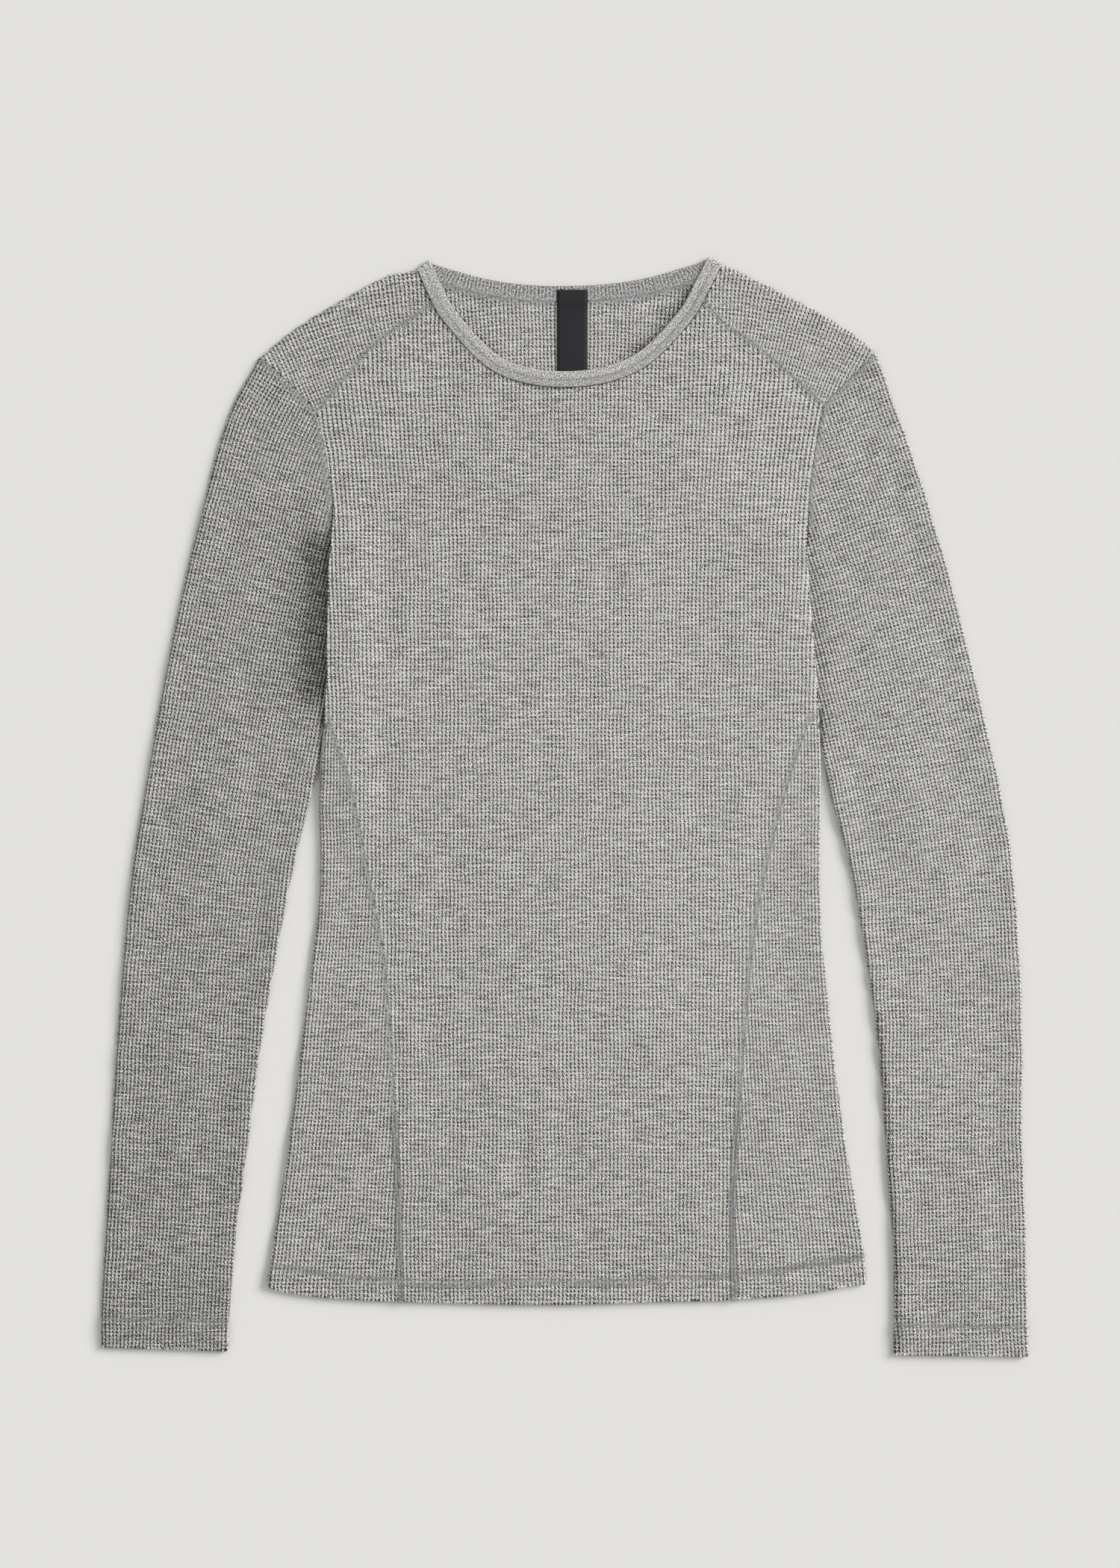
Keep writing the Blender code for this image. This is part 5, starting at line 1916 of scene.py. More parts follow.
class Neck:
    """Where the binding's middle runs, and which way its width lies."""

    def __init__(self, sizes: NeckSizes = NeckSizes()) -> None:
        """Work out both neck lines."""
        self.sizes = sizes
        run = smooth_line(FRONT_NECK_STATIONS)
        total = run_lengths(run)[-1]
        self.front = at_lengths(run, np.linspace(0.0, total, sizes.front_steps + 1))
        self.front_width = self._widths(self.front)
        self.back_share = np.linspace(-1.0, 1.0, sizes.back_steps + 1)
        self.back = self._back_line(self.front[0], self.front[-1])
        self.back_width = self._widths(self.back)

    def _widths(self, line: Array) -> Array:
        """Width directions: normal to the line, and along the shoulder at its ends."""
        run = run_lengths(line)
        left = 1.0 - smooth_step(run, 0.0, self.sizes.turn_length)
        right = 1.0 - smooth_step(run[-1] - run, 0.0, self.sizes.turn_length)
        return unit(
            -left_normals(line) * (1.0 - left - right)[:, None]
            + LEFT.shoulder_direction * left[:, None]
            + RIGHT.shoulder_direction * right[:, None])

    def _back_line(self, start: Array, end: Array) -> Array:
        """The binding's middle along the back neck."""
        share = self.back_share
        share = share + (np.sin(share * math.pi / 2) - share) * self.sizes.crowding
        x = (start[0] + end[0]) / 2 + share * (end[0] - start[0]) / 2
        tips = start[1] + (end[1] - start[1]) * (share + 1) / 2
        y = tips - self.sizes.depth * (1.0 - np.abs(share) ** self.sizes.power)
        return np.column_stack([x, y])

    def shifted(self, front: bool, distance: float) -> Array:
        """The binding's middle moved outwards across its width."""
        line, width = (self.front, self.front_width) if front else (self.back, self.back_width)
        return line + width * distance

    def outer(self, front: bool) -> Array:
        """Plan line of the cloth that the binding is sewn to."""
        return self.shifted(front, self.sizes.width / 2 + GAP)

    def front_heights(self) -> Array:
        """Height of the binding's middle along the front."""
        sizes = self.sizes
        run = run_lengths(self.front)
        from_end = np.minimum(run, run[-1] - run)
        flat = WALL + GAP + sizes.thickness / 2
        shoulder = sizes.thickness / 2 + 2 * sizes.fold_radius
        settle = smooth_step(from_end, sizes.settle_start, sizes.settle_end)
        from_label = np.abs(self.front[:, 0] - sizes.label_centre)
        down = smooth_step(from_label, sizes.label_relief, sizes.label_relief_end)
        rise = (sizes.label_thickness + GAP) * (1.0 - down)
        return shoulder + (flat - shoulder) * settle + rise * settle

    def split(self, side: Side, front: bool) -> int:
        """Index of the neck line's point where the yoke seam meets it."""
        if not front:
            return int(np.abs(self.back_share - side.sign * self.sizes.back_yoke_share).argmin())
        run = run_lengths(self.front)
        stop = self.sizes.yoke_run if side.sign < 0 else run[-1] - self.sizes.yoke_run
        return int(np.abs(run - stop).argmin())

    def middle_part(self, front: bool) -> Array:
        """The outer line between the two yoke seams, from left to right."""
        return self.outer(front)[self.split(LEFT, front):self.split(RIGHT, front) + 1]

    def end_part(self, side: Side, front: bool) -> Array:
        """The outer line from the yoke seam to the shoulder."""
        line, stop = self.outer(front), self.split(side, front)
        return line[:stop + 1][::-1] if side.sign < 0 else line[stop:]


NECK = Neck()


class SeamLines:
    """The plan lines that several pieces share."""

    YOKE_BACK_WIDTH = 12.0
    YOKE_BACK_SPACING = 12.0
    SIDE_STEPS = 120
    HEM_STEPS = 160

    @staticmethod
    def yoke_seam(side: Side) -> Array:
        """The front yoke seam, from the neck to the armhole."""
        start = NECK.outer(True)[NECK.split(side, True)]
        return smooth_line([tuple(start), *side.yoke_stations, side.armhole[YOKE_SEAM_STATION]])

    @classmethod
    def back_yoke_seam(cls, side: Side) -> Array:
        """The back yoke seam, from the neck to the armhole, under the shoulder fold."""
        shoulder = even(side.shoulder, cls.YOKE_BACK_SPACING)
        line = moved_left(shoulder, -side.sign * cls.YOKE_BACK_WIDTH)
        line[0] = NECK.outer(False)[NECK.split(side, False)]
        line[-1] = side.armhole[YOKE_BACK_STATION]
        return line

    @classmethod
    def side_seam(cls, side: Side, top: float) -> Array:
        """The side seam from the hem up to a height."""
        levels = np.linspace(float(hem_y(side.seam[0, 0])), top, cls.SIDE_STEPS)
        return np.column_stack([side.seam_x(levels), levels])

    @classmethod
    def hem(cls, start: float, end: float) -> Array:
        """The hem between two places."""
        x = np.linspace(start, end, cls.HEM_STEPS)
        return np.column_stack([x, hem_y(x)])


class BodyPanel(ClothPiece):
    """The front or back panel."""

    TURNED_UP = HEM_DEPTH * 223.0

    def outline(self, upper: Callable, yoke_seam: Callable, neck: Array) -> Array:
        """The panel's whole outline.

        Args:
            upper: Gives a side's line above the side seam, upwards.
            yoke_seam: Gives a side's yoke seam, from the neck outwards.
            neck: The neck line from left to right.

        Returns:
            The closed outline, moved in so that the rim ends at the cloth's edge.
        """
        borders, seams = [], []
        for side in SIDES:
            line = upper(side)
            seam = moved_left(yoke_seam(side), -side.sign * GAP / 2)
            seam[-1] = line[-1]
            seams.append(seam)
            lower = SeamLines.side_seam(side, SIDE_PANEL_TOP + CORNER_GAP)
            corner = [(float(side.edge_x(SIDE_PANEL_TOP)), CORNER_HEIGHT)]
            borders.append(np.vstack([moved_left(lower, side.sign * GAP / 2), corner, line]))
        left, right = borders
        top = np.vstack([seams[0][::-1], neck[1:-1], seams[1]])
        hem = SeamLines.hem(left[0, 0], right[0, 0])
        whole = Outline.joined(hem, right, top[::-1], left[::-1])
        return Outline.inset(whole, body_wall(whole) / 2)


class FrontPanel(BodyPanel):
    """The front: free edges over the sleeves, armholes, yoke seams, neck and hem."""

    flat = (0.334, 0.649)
    SEWN_START = 160.0
    SEWN_END = 178.0

    def _upper(self, side: Side) -> Array:
        """The free edge and the armhole, moved in where it is sewn."""
        line = smooth_line([*side.lip[:-1], *side.armhole[:YOKE_SEAM_STATION + 1]])
        sewn = smooth_step(line[:, 1], self.SEWN_START, self.SEWN_END) * GAP / 2
        return line + left_normals(line) * (side.sign * sewn)[:, None]

    def build(self) -> None:
        """Make the shell."""
        outline = self.outline(self._upper, SeamLines.yoke_seam, NECK.middle_part(True))
        surface = Surface(body_wall, self.wardrobe.body)
        shell = self.faces(surface, outline, SpreadGrain(self.seed))
        self.show(self.finished(shell, outline, FRONT_PAINTED_LIGHT_AND_SHADE), self.wardrobe.knit,
                  "back_panel_knit", "sleeve_left_knit", "sleeve_right_knit")


class BackPanel(BodyPanel):
    """The back, flat on the surface; its inside shows in the neck opening."""

    flat = (0.366, 0.69)
    WINDOW = 14.0
    FAN_CENTRE = (3.0, -600.0)
    FAN_RADIUS = 920.0
    SEWN_WIDTHS = (13.0, 17.0)
    SEWN_SHARE = 0.3

    def build(self) -> None:
        """Make the shell."""
        outline = self.outline(self._upper, SeamLines.back_yoke_seam, NECK.middle_part(False))
        window = Region(np.vstack([
            moved_left(line, -self.WINDOW) for line in (NECK.front, NECK.back[::-1])]))
        grain = FanGrain(self.seed, self.FAN_CENTRE, self.FAN_RADIUS)
        shell = self.faces(
            Surface(body_wall, None), outline, grain, [window], self._coverstitched)
        self.show(self.finished(shell, outline, BACK_PAINTED_SHADOWS), self.wardrobe.knit)

    @staticmethod
    def _upper(side: Side) -> Array:
        """The armhole up to the back yoke seam."""
        whole = side.whole_armhole()
        stop = nearest(whole, side.armhole[YOKE_BACK_STATION])
        return moved_left(whole[:stop + 1], side.sign * GAP / 2)

    def _coverstitched(self, plan: Array) -> Array:
        """The relief that is left under the stitches below the back neck."""
        free = smooth_step(distances(plan, NECK.back), *self.SEWN_WIDTHS)
        return self.SEWN_SHARE + (1.0 - self.SEWN_SHARE) * free


class SidePanel(SidedPiece):
    """A long gore folded at the body's edge."""

    KIND = "side_panel_"
    flat = (0.186, 0.39)
    TURNED_UP = HEM_DEPTH * 180.0
    STEPS = 90

    def build(self) -> None:
        """Make the shell."""
        side = self.side
        levels = np.linspace(float(hem_y(side.edge[0, 0])), SIDE_PANEL_TOP, self.STEPS)
        edge = np.column_stack([side.edge_x(levels), levels])
        outward = -side.sign * left_normals(edge)
        fold = Fold(edge, outward, body_wall, self.wardrobe.body)
        surface = Surface(body_wall, self.wardrobe.body, [fold])
        seam = moved_left(SeamLines.side_seam(side, SIDE_PANEL_TOP), -side.sign * GAP / 2)
        first, last = fold.centres[0], fold.centres[-1]
        hem = SeamLines.hem(seam[0, 0], first[0])
        hem[:, 1] += (first[1] - hem[-1, 1]) * np.linspace(0.0, 1.0, len(hem)) ** 2
        top = np.vstack([seam[-1], last])
        lower = [fold.unrolled(line) for line in (hem[::-1], seam, top)]
        whole = Outline.joined(hem, *lower, top[::-1], seam[::-1])
        outline = Outline.inset(whole, surface.middles(whole)[2] / 2)
        shell = self.faces(surface, outline, EdgeGrain(self.seed, side))
        self.show(self.finished(shell, outline), self.wardrobe.knit)


class Yoke(SidedPiece):
    """A shoulder yoke that wraps over the shoulder fold."""

    KIND = "shoulder_yoke_"
    flat = (0.126, 0.106)
    CENTRES = {"left": (-78.3, 64.0), "right": (84.4, 73.0)}
    RADIUS = 265.0
    EDGE_SPACING = 5.0
    OVERLAP = 0.15
    TURN_SHARE = 0.22

    def _fold(self) -> Fold:
        """The shoulder fold, turned at its ends to run on from the neck and armhole."""
        side, sizes = self.side, NECK.sizes
        edge = even(side.shoulder, self.EDGE_SPACING)
        outward = side.sign * left_normals(edge)
        neck_edge = NECK.outer(True)[0 if side.sign < 0 else -1]
        reach = sizes.fold_radius + sizes.thickness / 2
        edge[0] = neck_edge + side.neck_outward() * reach + side.shoulder_direction * self.OVERLAP
        armhole_normal = left_normals(side.whole_armhole())[-1]
        edge[-1] = edge[-1] + armhole_normal * side.sign * (GAP / 2 + self.OVERLAP)
        share = np.linspace(0.0, 1.0, len(edge))
        near_neck = 1.0 - smooth_step(share, 0.0, self.TURN_SHARE)
        outward = blended(outward, side.neck_outward(), near_neck)
        near_armhole = smooth_step(share, 1.0 - self.TURN_SHARE, 1.0)
        outward = blended(outward, side.armhole_outward(), near_armhole)
        return Fold(edge, outward, single_wall, self.wardrobe.body)

    def build(self) -> None:
        """Make the shell."""
        side = self.side
        shift = side.sign * GAP / 2
        fold = self._fold()
        first, last = fold.centres[0], fold.centres[-1]
        seam = moved_left(SeamLines.yoke_seam(side), shift)
        armhole = moved_left(side.armhole_from(YOKE_SEAM_STATION), shift)
        seam[-1] = armhole[0]
        armhole = ended_at(armhole, last)
        neck = ended_at(NECK.end_part(side, True), first)
        back_seam = moved_left(SeamLines.back_yoke_seam(side), shift)
        back_neck = ended_at(NECK.end_part(side, False), first)
        back_neck[0] = back_seam[0]
        back_end = np.vstack([last, back_seam[-1]])
        lower = [fold.unrolled(line) for line in (back_end, back_seam[::-1], back_neck)]
        whole = Outline.joined(seam, armhole, *lower, neck[::-1])
        outline = Outline.inset(whole, np.full(len(whole), WALL / 2))
        surface = Surface(single_wall, self.wardrobe.body, [fold])
        grain = FanGrain(self.seed, self.CENTRES[side.name], self.RADIUS)
        shell = self.faces(surface, outline, grain)
        self.show(self.finished(shell, outline), self.wardrobe.knit)


class Sleeve(SidedPiece):
    """A flattened tube from the armhole to the cuff."""

    KIND = "sleeve_"
    flat = (0.24, 0.70)
    TURNED_UP = CUFF_DEPTH * 175.0
    LEAVES = 2.0
    BORDER = 3.0
    SPACING = 2.4
    EDGE_SPACING = 6.0
    TURN_LENGTH = 30.0

    def _folds(self, wall: Callable, heights: HeightField, armhole: Array) -> tuple[Fold, Fold]:
        """The outer and the inner fold."""
        side = self.side
        outer = even(side.sleeve_outer, self.EDGE_SPACING)
        inner = even(side.sleeve_inner, self.EDGE_SPACING)
        outer_out = side.sign * left_normals(outer)
        inner_out = -side.sign * left_normals(inner)
        outer[0] = armhole[-1]
        turn = 1.0 - smooth_step(run_lengths(outer), 0.0, self.TURN_LENGTH)
        outer_out = blended(outer_out, side.armhole_outward(), turn)
        for edge in (outer, inner):
            edge[-1] -= unit(edge[-1] - edge[-2]) * TURN_UP_WALL / 2
        return (Fold(outer, outer_out, wall, heights),
                Fold(inner, inner_out, wall, heights, opens=True))

    def build(self) -> None:
        """Make the shell: relief above and round the folds, a plain lower leaf, two rims."""
        side = self.side
        wall = sleeve_wall(side)
        corners = np.vstack([side.sleeve_outer, side.sleeve_inner])
        heights = HeightField(Part.SLEEVE, wall, corners.min(axis=0), corners.max(axis=0))
        armhole = moved_left(side.whole_armhole(), -side.sign * (GAP / 2 + WALL / 2))
        folds = self._folds(wall, heights, armhole)
        self.surface = Surface(wall, heights, folds)
        outer_ends, inner_ends = (fold.centres[[0, -1]] for fold in folds)
        armhole = ended_at(armhole, outer_ends[0])
        armhole = even(ended_at(armhole[::-1], inner_ends[0])[::-1], self.SPACING)
        cuff = even(np.vstack([inner_ends[1], outer_ends[1]]), self.SPACING)
        borders, feet = [], []
        for fold in folds:
            line = even(np.column_stack([fold.centres, fold.outward, fold.radius]), self.SPACING)
            centre, out, radius = line[:, :2], unit(line[:, 2:4]), line[:, 4]
            borders.append(centre + out * (math.pi * radius + self.BORDER)[:, None])
            feet.append(centre - out * self.BORDER)
        upper = [self._span(borders[1][0], armhole[0]), armhole,
                 self._span(armhole[-1], borders[0][0])]
        end = [self._span(borders[0][-1], cuff[-1]), cuff[::-1],
               self._span(cuff[0], borders[1][-1])]
        outline = self._chain([*upper, borders[0], *end, borders[1][::-1]])
        order = -1 if signed_area(outline) < 0 else 1
        shell = self.faces(self.surface, outline[::order], OffsetGrain(self.seed, side))
        for parts in (upper, end):
            shell.rim(self._chain(parts, closed=False)[::order], False)
        self._lower(shell, wall, feet, armhole, cuff)
        mesh = shell.mesh(self.node + "_knit")
        Crease.mark(mesh, SLEEVE_PAINTED_SHADE[side.name])
        self.show(mesh, self.wardrobe.sleeve_knit)

    @staticmethod
    def _span(start: Array, end: Array, count: int = 7) -> Array:
        """A short straight line of evenly spaced points."""
        return np.array([start + (end - start) * share for share in np.linspace(0.0, 1.0, count)])

    @staticmethod
    def _chain(parts: list[Array], closed: bool = True) -> Array:
        """Join lines end to end, each shared point once."""
        points = []
        for point in np.vstack(parts):
            if not points or np.linalg.norm(point - points[-1]) > TINY:
                points.append(point)
        if closed and np.linalg.norm(points[0] - points[-1]) <= TINY:
            points.pop()
        return np.array(points)

    def _lower(self, shell: Shell, wall: Callable, feet: list[Array],
               armhole: Array, cuff: Array) -> None:
        """Add the lower leaf between the relief's two borders, with its rims."""
        top = self._between(armhole, feet[1][0], feet[0][0])
        bottom = self._between(cuff, feet[1][-1], feet[0][-1])
        outline = self._chain([top, feet[0], bottom[::-1], feet[1][::-1]])
        order = -1 if signed_area(outline) < 0 else 1
        leaf = Shell(LowerLeaf(wall, None), None)
        leaf.plain_face(outline[::order], Face.OUTER, True)
        leaf.plain_face(outline[::order], Face.INNER, True)
        for line in (top, bottom[::-1]):
            leaf.rim(line[::-order], False)
        self._meet(shell.patches[-2:], leaf.patches[-2:])
        for patch in leaf.patches:
            patch.knit = patch.points[:, :2].copy()
            shell.patches.append(patch)

    @staticmethod
    def _meet(rims: Sequence[Patch], lower_rims: Sequence[Patch]) -> None:
        """Give the lower leaf's rims the end rings of the rims that they run on from."""
        steps = len(Shell.RIM_ANGLES) + 2
        ends = [rim.points.reshape(steps, -1, 3)[:, end] for rim in rims for end in (0, -1)]
        for rim in lower_rims:
            rings = rim.points.reshape(steps, -1, 3)
            for end in (0, -1):
                gaps = [np.linalg.norm(ring[0] - rings[0, end]) for ring in ends]
                rings[:, end] = ends[int(np.argmin(gaps))]

    @staticmethod
    def _between(line: Array, start: Array, end: Array) -> Array:
        """A line's inner points, between two other ends."""
        return np.vstack([start, line[nearest(line, start) + 2:nearest(line, end) - 1], end])


class LowerLeaf(Surface):
    """Cloth that lies on the floor with its outer face down."""

    HAND = -1.0

    def _middles(self, plan: Array) -> tuple[Array, Array, Array]:
        """Map one chunk of domain points."""
        middles, up, walls = super()._middles(plan)
        return middles, -up, walls


class Neckband(ClothPiece):
    """The folded binding round the neck."""

    SLOT = "binding"
    CORNER = 0.85
    CORNER_STEPS = 4
    FACE_STEPS = 9
    GROOVE_PLACE = 0.6
    GROOVE_WIDTH = 0.45
    GROOVE_DEPTH = 0.16
    GROOVE_SHADE = 0.5
    UP = np.array([0.0, 0.0, 1.0])

    def profile(self) -> Array:
        """The binding's rounded section: across, up and painted shade at each of its points."""
        half_width, half_thickness = NECK.sizes.width / 2, NECK.sizes.thickness / 2
        points = []
        for turn_x, turn_z, start in ((1, 1, 0.0), (-1, 1, 90.0), (-1, -1, 180.0), (1, -1, 270.0)):
            centre_x = turn_x * (half_width - self.CORNER)
            centre_z = turn_z * (half_thickness - self.CORNER)
            for step in range(self.CORNER_STEPS + 1):
                angle = math.radians(start + 90.0 * step / self.CORNER_STEPS)
                points.append((centre_x + self.CORNER * math.cos(angle),
                               centre_z + self.CORNER * math.sin(angle), 0.0))
            if turn_x == turn_z:
                points += self._face(centre_x, turn_z * half_thickness)
        return np.array(points)

    def _face(self, start: float, height: float) -> list[tuple[float, float, float]]:
        """Points across one broad face, with its grooves and the painted shade in them."""
        found = []
        for step in range(1, self.FACE_STEPS):
            x = start - 2 * start * step / self.FACE_STEPS
            groove = math.exp(-((x - self.GROOVE_PLACE) / self.GROOVE_WIDTH) ** 2)
            found.append((x, height - math.copysign(self.GROOVE_DEPTH * groove, height),
                          self.GROOVE_SHADE * groove))
        return found

    def build(self) -> None:
        """Sweep the section round both neck lines and the two shoulder turns."""
        profile = self.profile()
        rows = self.sections()
        points = np.array([
            middle + width * across + thick * rise
            for middle, width, thick in rows for across, rise, _ in profile
        ])
        triangles = MeshMaker.grid_triangles(len(rows), len(profile), True)
        mesh = MeshMaker.make("neckband_knit", points * MM, triangles[:, ::-1])
        run = run_lengths(np.array([row[0] for row in rows + rows[:1]]))
        around = run_lengths(np.vstack([profile, profile[:1]])[:, :2])
        uv = []
        for low, high in zip(run, run[1:]):
            for a, b in zip(around, around[1:]):
                uv += [(b, high), (b, low), (a, low), (a, high), (b, high), (a, low)]
        MeshMaker.knit_map(mesh, np.array(uv))
        behind = np.repeat([float(thick[2] < 0.0) for _, _, thick in rows], len(profile))
        # The groove attribute carries the painted shade of the front's middle groove.
        MeshMaker.attribute(mesh, "groove", np.tile(profile[:, 2], len(rows)) * (1.0 - behind))
        MeshMaker.attribute(mesh, "waffle", behind)
        self.show(mesh, self.wardrobe.binding, "back_panel_knit", "neck_label_tape")

    def sections(self) -> list[tuple[Array, Array, Array]]:
        """Rows of (middle, width direction, thickness direction) round the whole band."""
        rows = [
            (np.array([*point, height]), np.array([*width, 0.0]), self.UP)
            for point, width, height in zip(NECK.front, NECK.front_width, NECK.front_heights())
        ]
        rows += self._turn(NECK.front[-1], NECK.front_width[-1], 1.0)
        rows += [
            (np.array([*point, NECK.sizes.thickness / 2]), np.array([*width, 0.0]), -self.UP)
            for point, width in zip(NECK.back[::-1], NECK.back_width[::-1])
        ]
        return rows + self._turn(NECK.front[0], NECK.front_width[0], -1.0)

    def _turn(self, plan: Array, width: Array, direction: float) -> list[tuple]:
        """Sections that take the band over the shoulder: down at +1, up again at -1."""
        sizes = NECK.sizes
        outward = np.array([-width[1], width[0]])
        outward = outward if outward[1] > 0 else -outward
        base = np.array([*plan, sizes.thickness / 2 + sizes.fold_radius])
        rows = []
        for step in range(1, sizes.fold_steps):
            angle = direction * (math.pi / 2 - math.pi * step / sizes.fold_steps)
            radial = np.array([*(outward * math.cos(angle)), math.sin(angle)])
            rows.append((base + radial * sizes.fold_radius, np.array([*width, 0.0]), radial))
        return rows

    @property
    def length(self) -> float:
        """The strip's length round the neck."""
        return run_lengths(NECK.front)[-1] + run_lengths(NECK.back)[-1]

    @property
    def flat(self) -> tuple[float, float]:
        """The strip's visible width all round, and its length, in metres."""
        return 2 * (NECK.sizes.width + NECK.sizes.thickness / 2) * MM / 2, self.length * MM

    def area(self) -> float:
        """The strip's visible area, in square millimetres."""
        return NECK.sizes.width * self.length


class NeckLabel(ClothPiece):
    """A blank woven tape on the inside of the back neck."""

    SLOT = "label"
    WIDTH = 20.5
    TOP = 346.0
    BOTTOM = 286.0
    LENGTH = TOP - BOTTOM + 1.0
    flat = (WIDTH * MM, LENGTH * MM)
    STEP = 5.0
    COLUMNS = 8

    def build(self) -> None:
        """Lay the tape over the band's edge and down the back."""
        centre, thickness = NECK.sizes.label_centre, NECK.sizes.label_thickness
        band_edge = float(NECK.outer(False)[:, 1].min())
        over_band = NECK.sizes.thickness + GAP + thickness / 2
        over_back = WALL + GAP + thickness / 2
        step_end = band_edge - self.STEP
        levels = np.concatenate([
            np.linspace(self.TOP, band_edge, 4), np.linspace(band_edge, step_end, 9)[1:],
            np.linspace(step_end, self.BOTTOM, 20)[1:]])
        down = smooth_step(band_edge - levels, 0.0, self.STEP)
        heights = over_band + (over_back - over_band) * down
        across = np.linspace(-1.0, 1.0, self.COLUMNS + 1)
        top = [
            [centre + share * (self.WIDTH / 2), y, z + thickness / 2]
            for y, z in zip(levels, heights) for share in across
        ]
        bottom = [[x, y, z - thickness] for x, y, z in top]
        count, rows = self.COLUMNS + 1, len(levels)
        upper = MeshMaker.grid_triangles(rows, count, False)
        index = np.arange(rows * count).reshape(rows, count)
        border = [*index[0], *index[1:, -1], *index[-1, -2::-1], *index[-2:0:-1, 0]]
        wall = []
        for a, b in zip(border, border[1:] + border[:1]):
            wall += [(a, b, b + rows * count), (a, b + rows * count, a + rows * count)]
        triangles = np.vstack([upper[:, ::-1], upper + rows * count, np.array(wall)])
        mesh = MeshMaker.make("neck_label_tape", np.array(top + bottom) * MM, triangles)
        self.show(mesh, self.wardrobe.label, "back_panel_knit")

    def area(self) -> float:
        """The tape's area, in square millimetres."""
        return self.WIDTH * self.LENGTH


# --- Sewing -----------------------------------------------------------------------------------

HEM_STITCHES = (
    (-195.75, -307.5), (-173.75, -310.0), (-150.75, -314.5), (-127.75, -316.5),
    (-109.75, -317.0), (-99.25, -318.5), (-59.25, -319.0), (-28.25, -317.5), (19.75, -318.5),
    (59.25, -317.0), (110.25, -313.5), (139.25, -311.0), (163.25, -305.5), (199.75, -301.0),
)


class Sewing:
    """The seams' stitches, laid over the finished pieces."""

    RELIEF = 0.12
    END_STITCHES = 8
    OVER_HATCH = 0.6
    CORNER_REACH = 3.6
    LABEL_MARGIN = 1.5
    FRONT_HATCH_SHARE = 0.45
    FRONT_MIDDLE = 0.5
    ARMHOLE_SHIFT = 1.9
    CUFF_INSET = 0.02
    SIDE_HATCHES = {"a": 0.0, "b": 1.0}
    SIDE_NEEDLES = {"a": -1.7, "b": 0.4, "c": 2.4}
    HEM_NEEDLES = {"a": 2.0, "b": -2.0}

    def __init__(self, wardrobe: Wardrobe, pieces: dict[str, ClothPiece]) -> None:
        """Keep what the stitches lie on."""
        self.wardrobe = wardrobe
        self.pieces = pieces
        self.body = Surface(body_wall, wardrobe.body)

    def sew(self) -> None:
        """Lay all runs."""
        for side in SIDES:
            self._side_seam(side)
            yoke = self.pieces["shoulder_yoke_" + side.name]
            seam = SeamLines.yoke_seam(side)
            self._crossed(yoke, "yoke_seam_" + side.name, self.body, seam)
            sleeve = self.pieces["sleeve_" + side.name]
            line = moved_left(side.armhole_from(0)[3:-3], -side.sign * self.ARMHOLE_SHIFT)
            self._crossed(sleeve, "armhole_" + side.name, sleeve.surface, line)
            self._cuff(side, sleeve)
        self._hem()
        self._neck()

    def _crossed(self, piece: ClothPiece, name: str, surface: Surface, line: Array) -> None:
        """Lay two runs of flatlock threads that cross each other."""
        for label, mirrored in (("up", False), ("down", True)):
            piece.sew(f"{name}_{label}", surface, line, FLATLOCK, self.wardrobe.thread, mirrored)

    def _neck(self) -> None:
        """The coverstitch over the back neck seam, and the hatch on the front binding."""
        sizes = NECK.sizes
        back = np.full(len(NECK.back), sizes.thickness)
        front = NECK.front_heights() + sizes.thickness / 2
        label = (sizes.label_centre, NeckLabel.WIDTH / 2 + self.LABEL_MARGIN)
        edge = sizes.width / 2
        self._binding_run("neck_back_cover", False, edge, BINDING_COVER, back, label)
        self._binding_run("neck_front_cover", True, edge * self.FRONT_HATCH_SHARE,
                          BINDING_HATCH, front)
        for name, shift in (("middle", self.FRONT_MIDDLE), ("sewn", edge)):
            self._binding_run("neck_front_" + name, True, shift, NEEDLE, front)

    def _binding_run(self, name: str, front: bool, shift: float, kind: StitchKind,
                     heights: Array, gap: tuple[float, float] | None = None) -> None:
        """Lay threads along the binding.

        Args:
            name: The run's name.
            front: Whether it lies on the front binding.
            shift: How far out from the binding's middle it lies.
            kind: The stitches' sizes.
            heights: The binding's top along its line.
            gap: Middle and half width of a stretch that is left out, if any.
        """
        line = np.column_stack([NECK.shifted(front, shift), heights + self.RELIEF])
        points = even(line, kind.pitch)[self.END_STITCHES:-self.END_STITCHES]
        along = np.gradient(points, axis=0)
        if gap is not None:
            kept = np.abs(points[:, 0] - gap[0]) > gap[1]
            points, along = points[kept], along[kept]
        up = np.tile([0.0, 0.0, 1.0], (len(points), 1))
        thin = kind is NEEDLE
        material = self.wardrobe.hem_thread if thin else self.wardrobe.thread
        for slant in (kind.slant,) if thin else (kind.slant, -kind.slant):
            label = f"{name}_{'down' if slant < 0.0 else 'up'}"
            run = self.wardrobe.seams.threads(label, points, up, along, kind, slant, material)
            self.pieces["neckband"].stitches.append(run)

    def _side_seam(self, side: Side) -> None:
        """The flatlocked side seam, with needle lines that show near the hem."""
        panel = self.pieces["side_panel_" + side.name]
        line = SeamLines.side_seam(side, SIDE_PANEL_TOP - 1.0)
        corner = np.array(side.lip[:1]) - [side.sign * self.CORNER_REACH, 0.0]
        whole, lower = np.vstack([line, corner]), line[:len(line) // 3]
        name = "side_seam_" + side.name
        for label, shift in self.SIDE_HATCHES.items():
            panel.sew(f"{name}_hatch_{label}", self.body, moved_left(whole, shift), SIDE_LOCK,
                      self.wardrobe.thread, side.sign > 0)
        for label, shift in self.SIDE_NEEDLES.items():
            panel.sew(f"{name}_needle_{label}", self.body, moved_left(lower, shift), NEEDLE,
                      self.wardrobe.dark_thread, lift=self.OVER_HATCH)

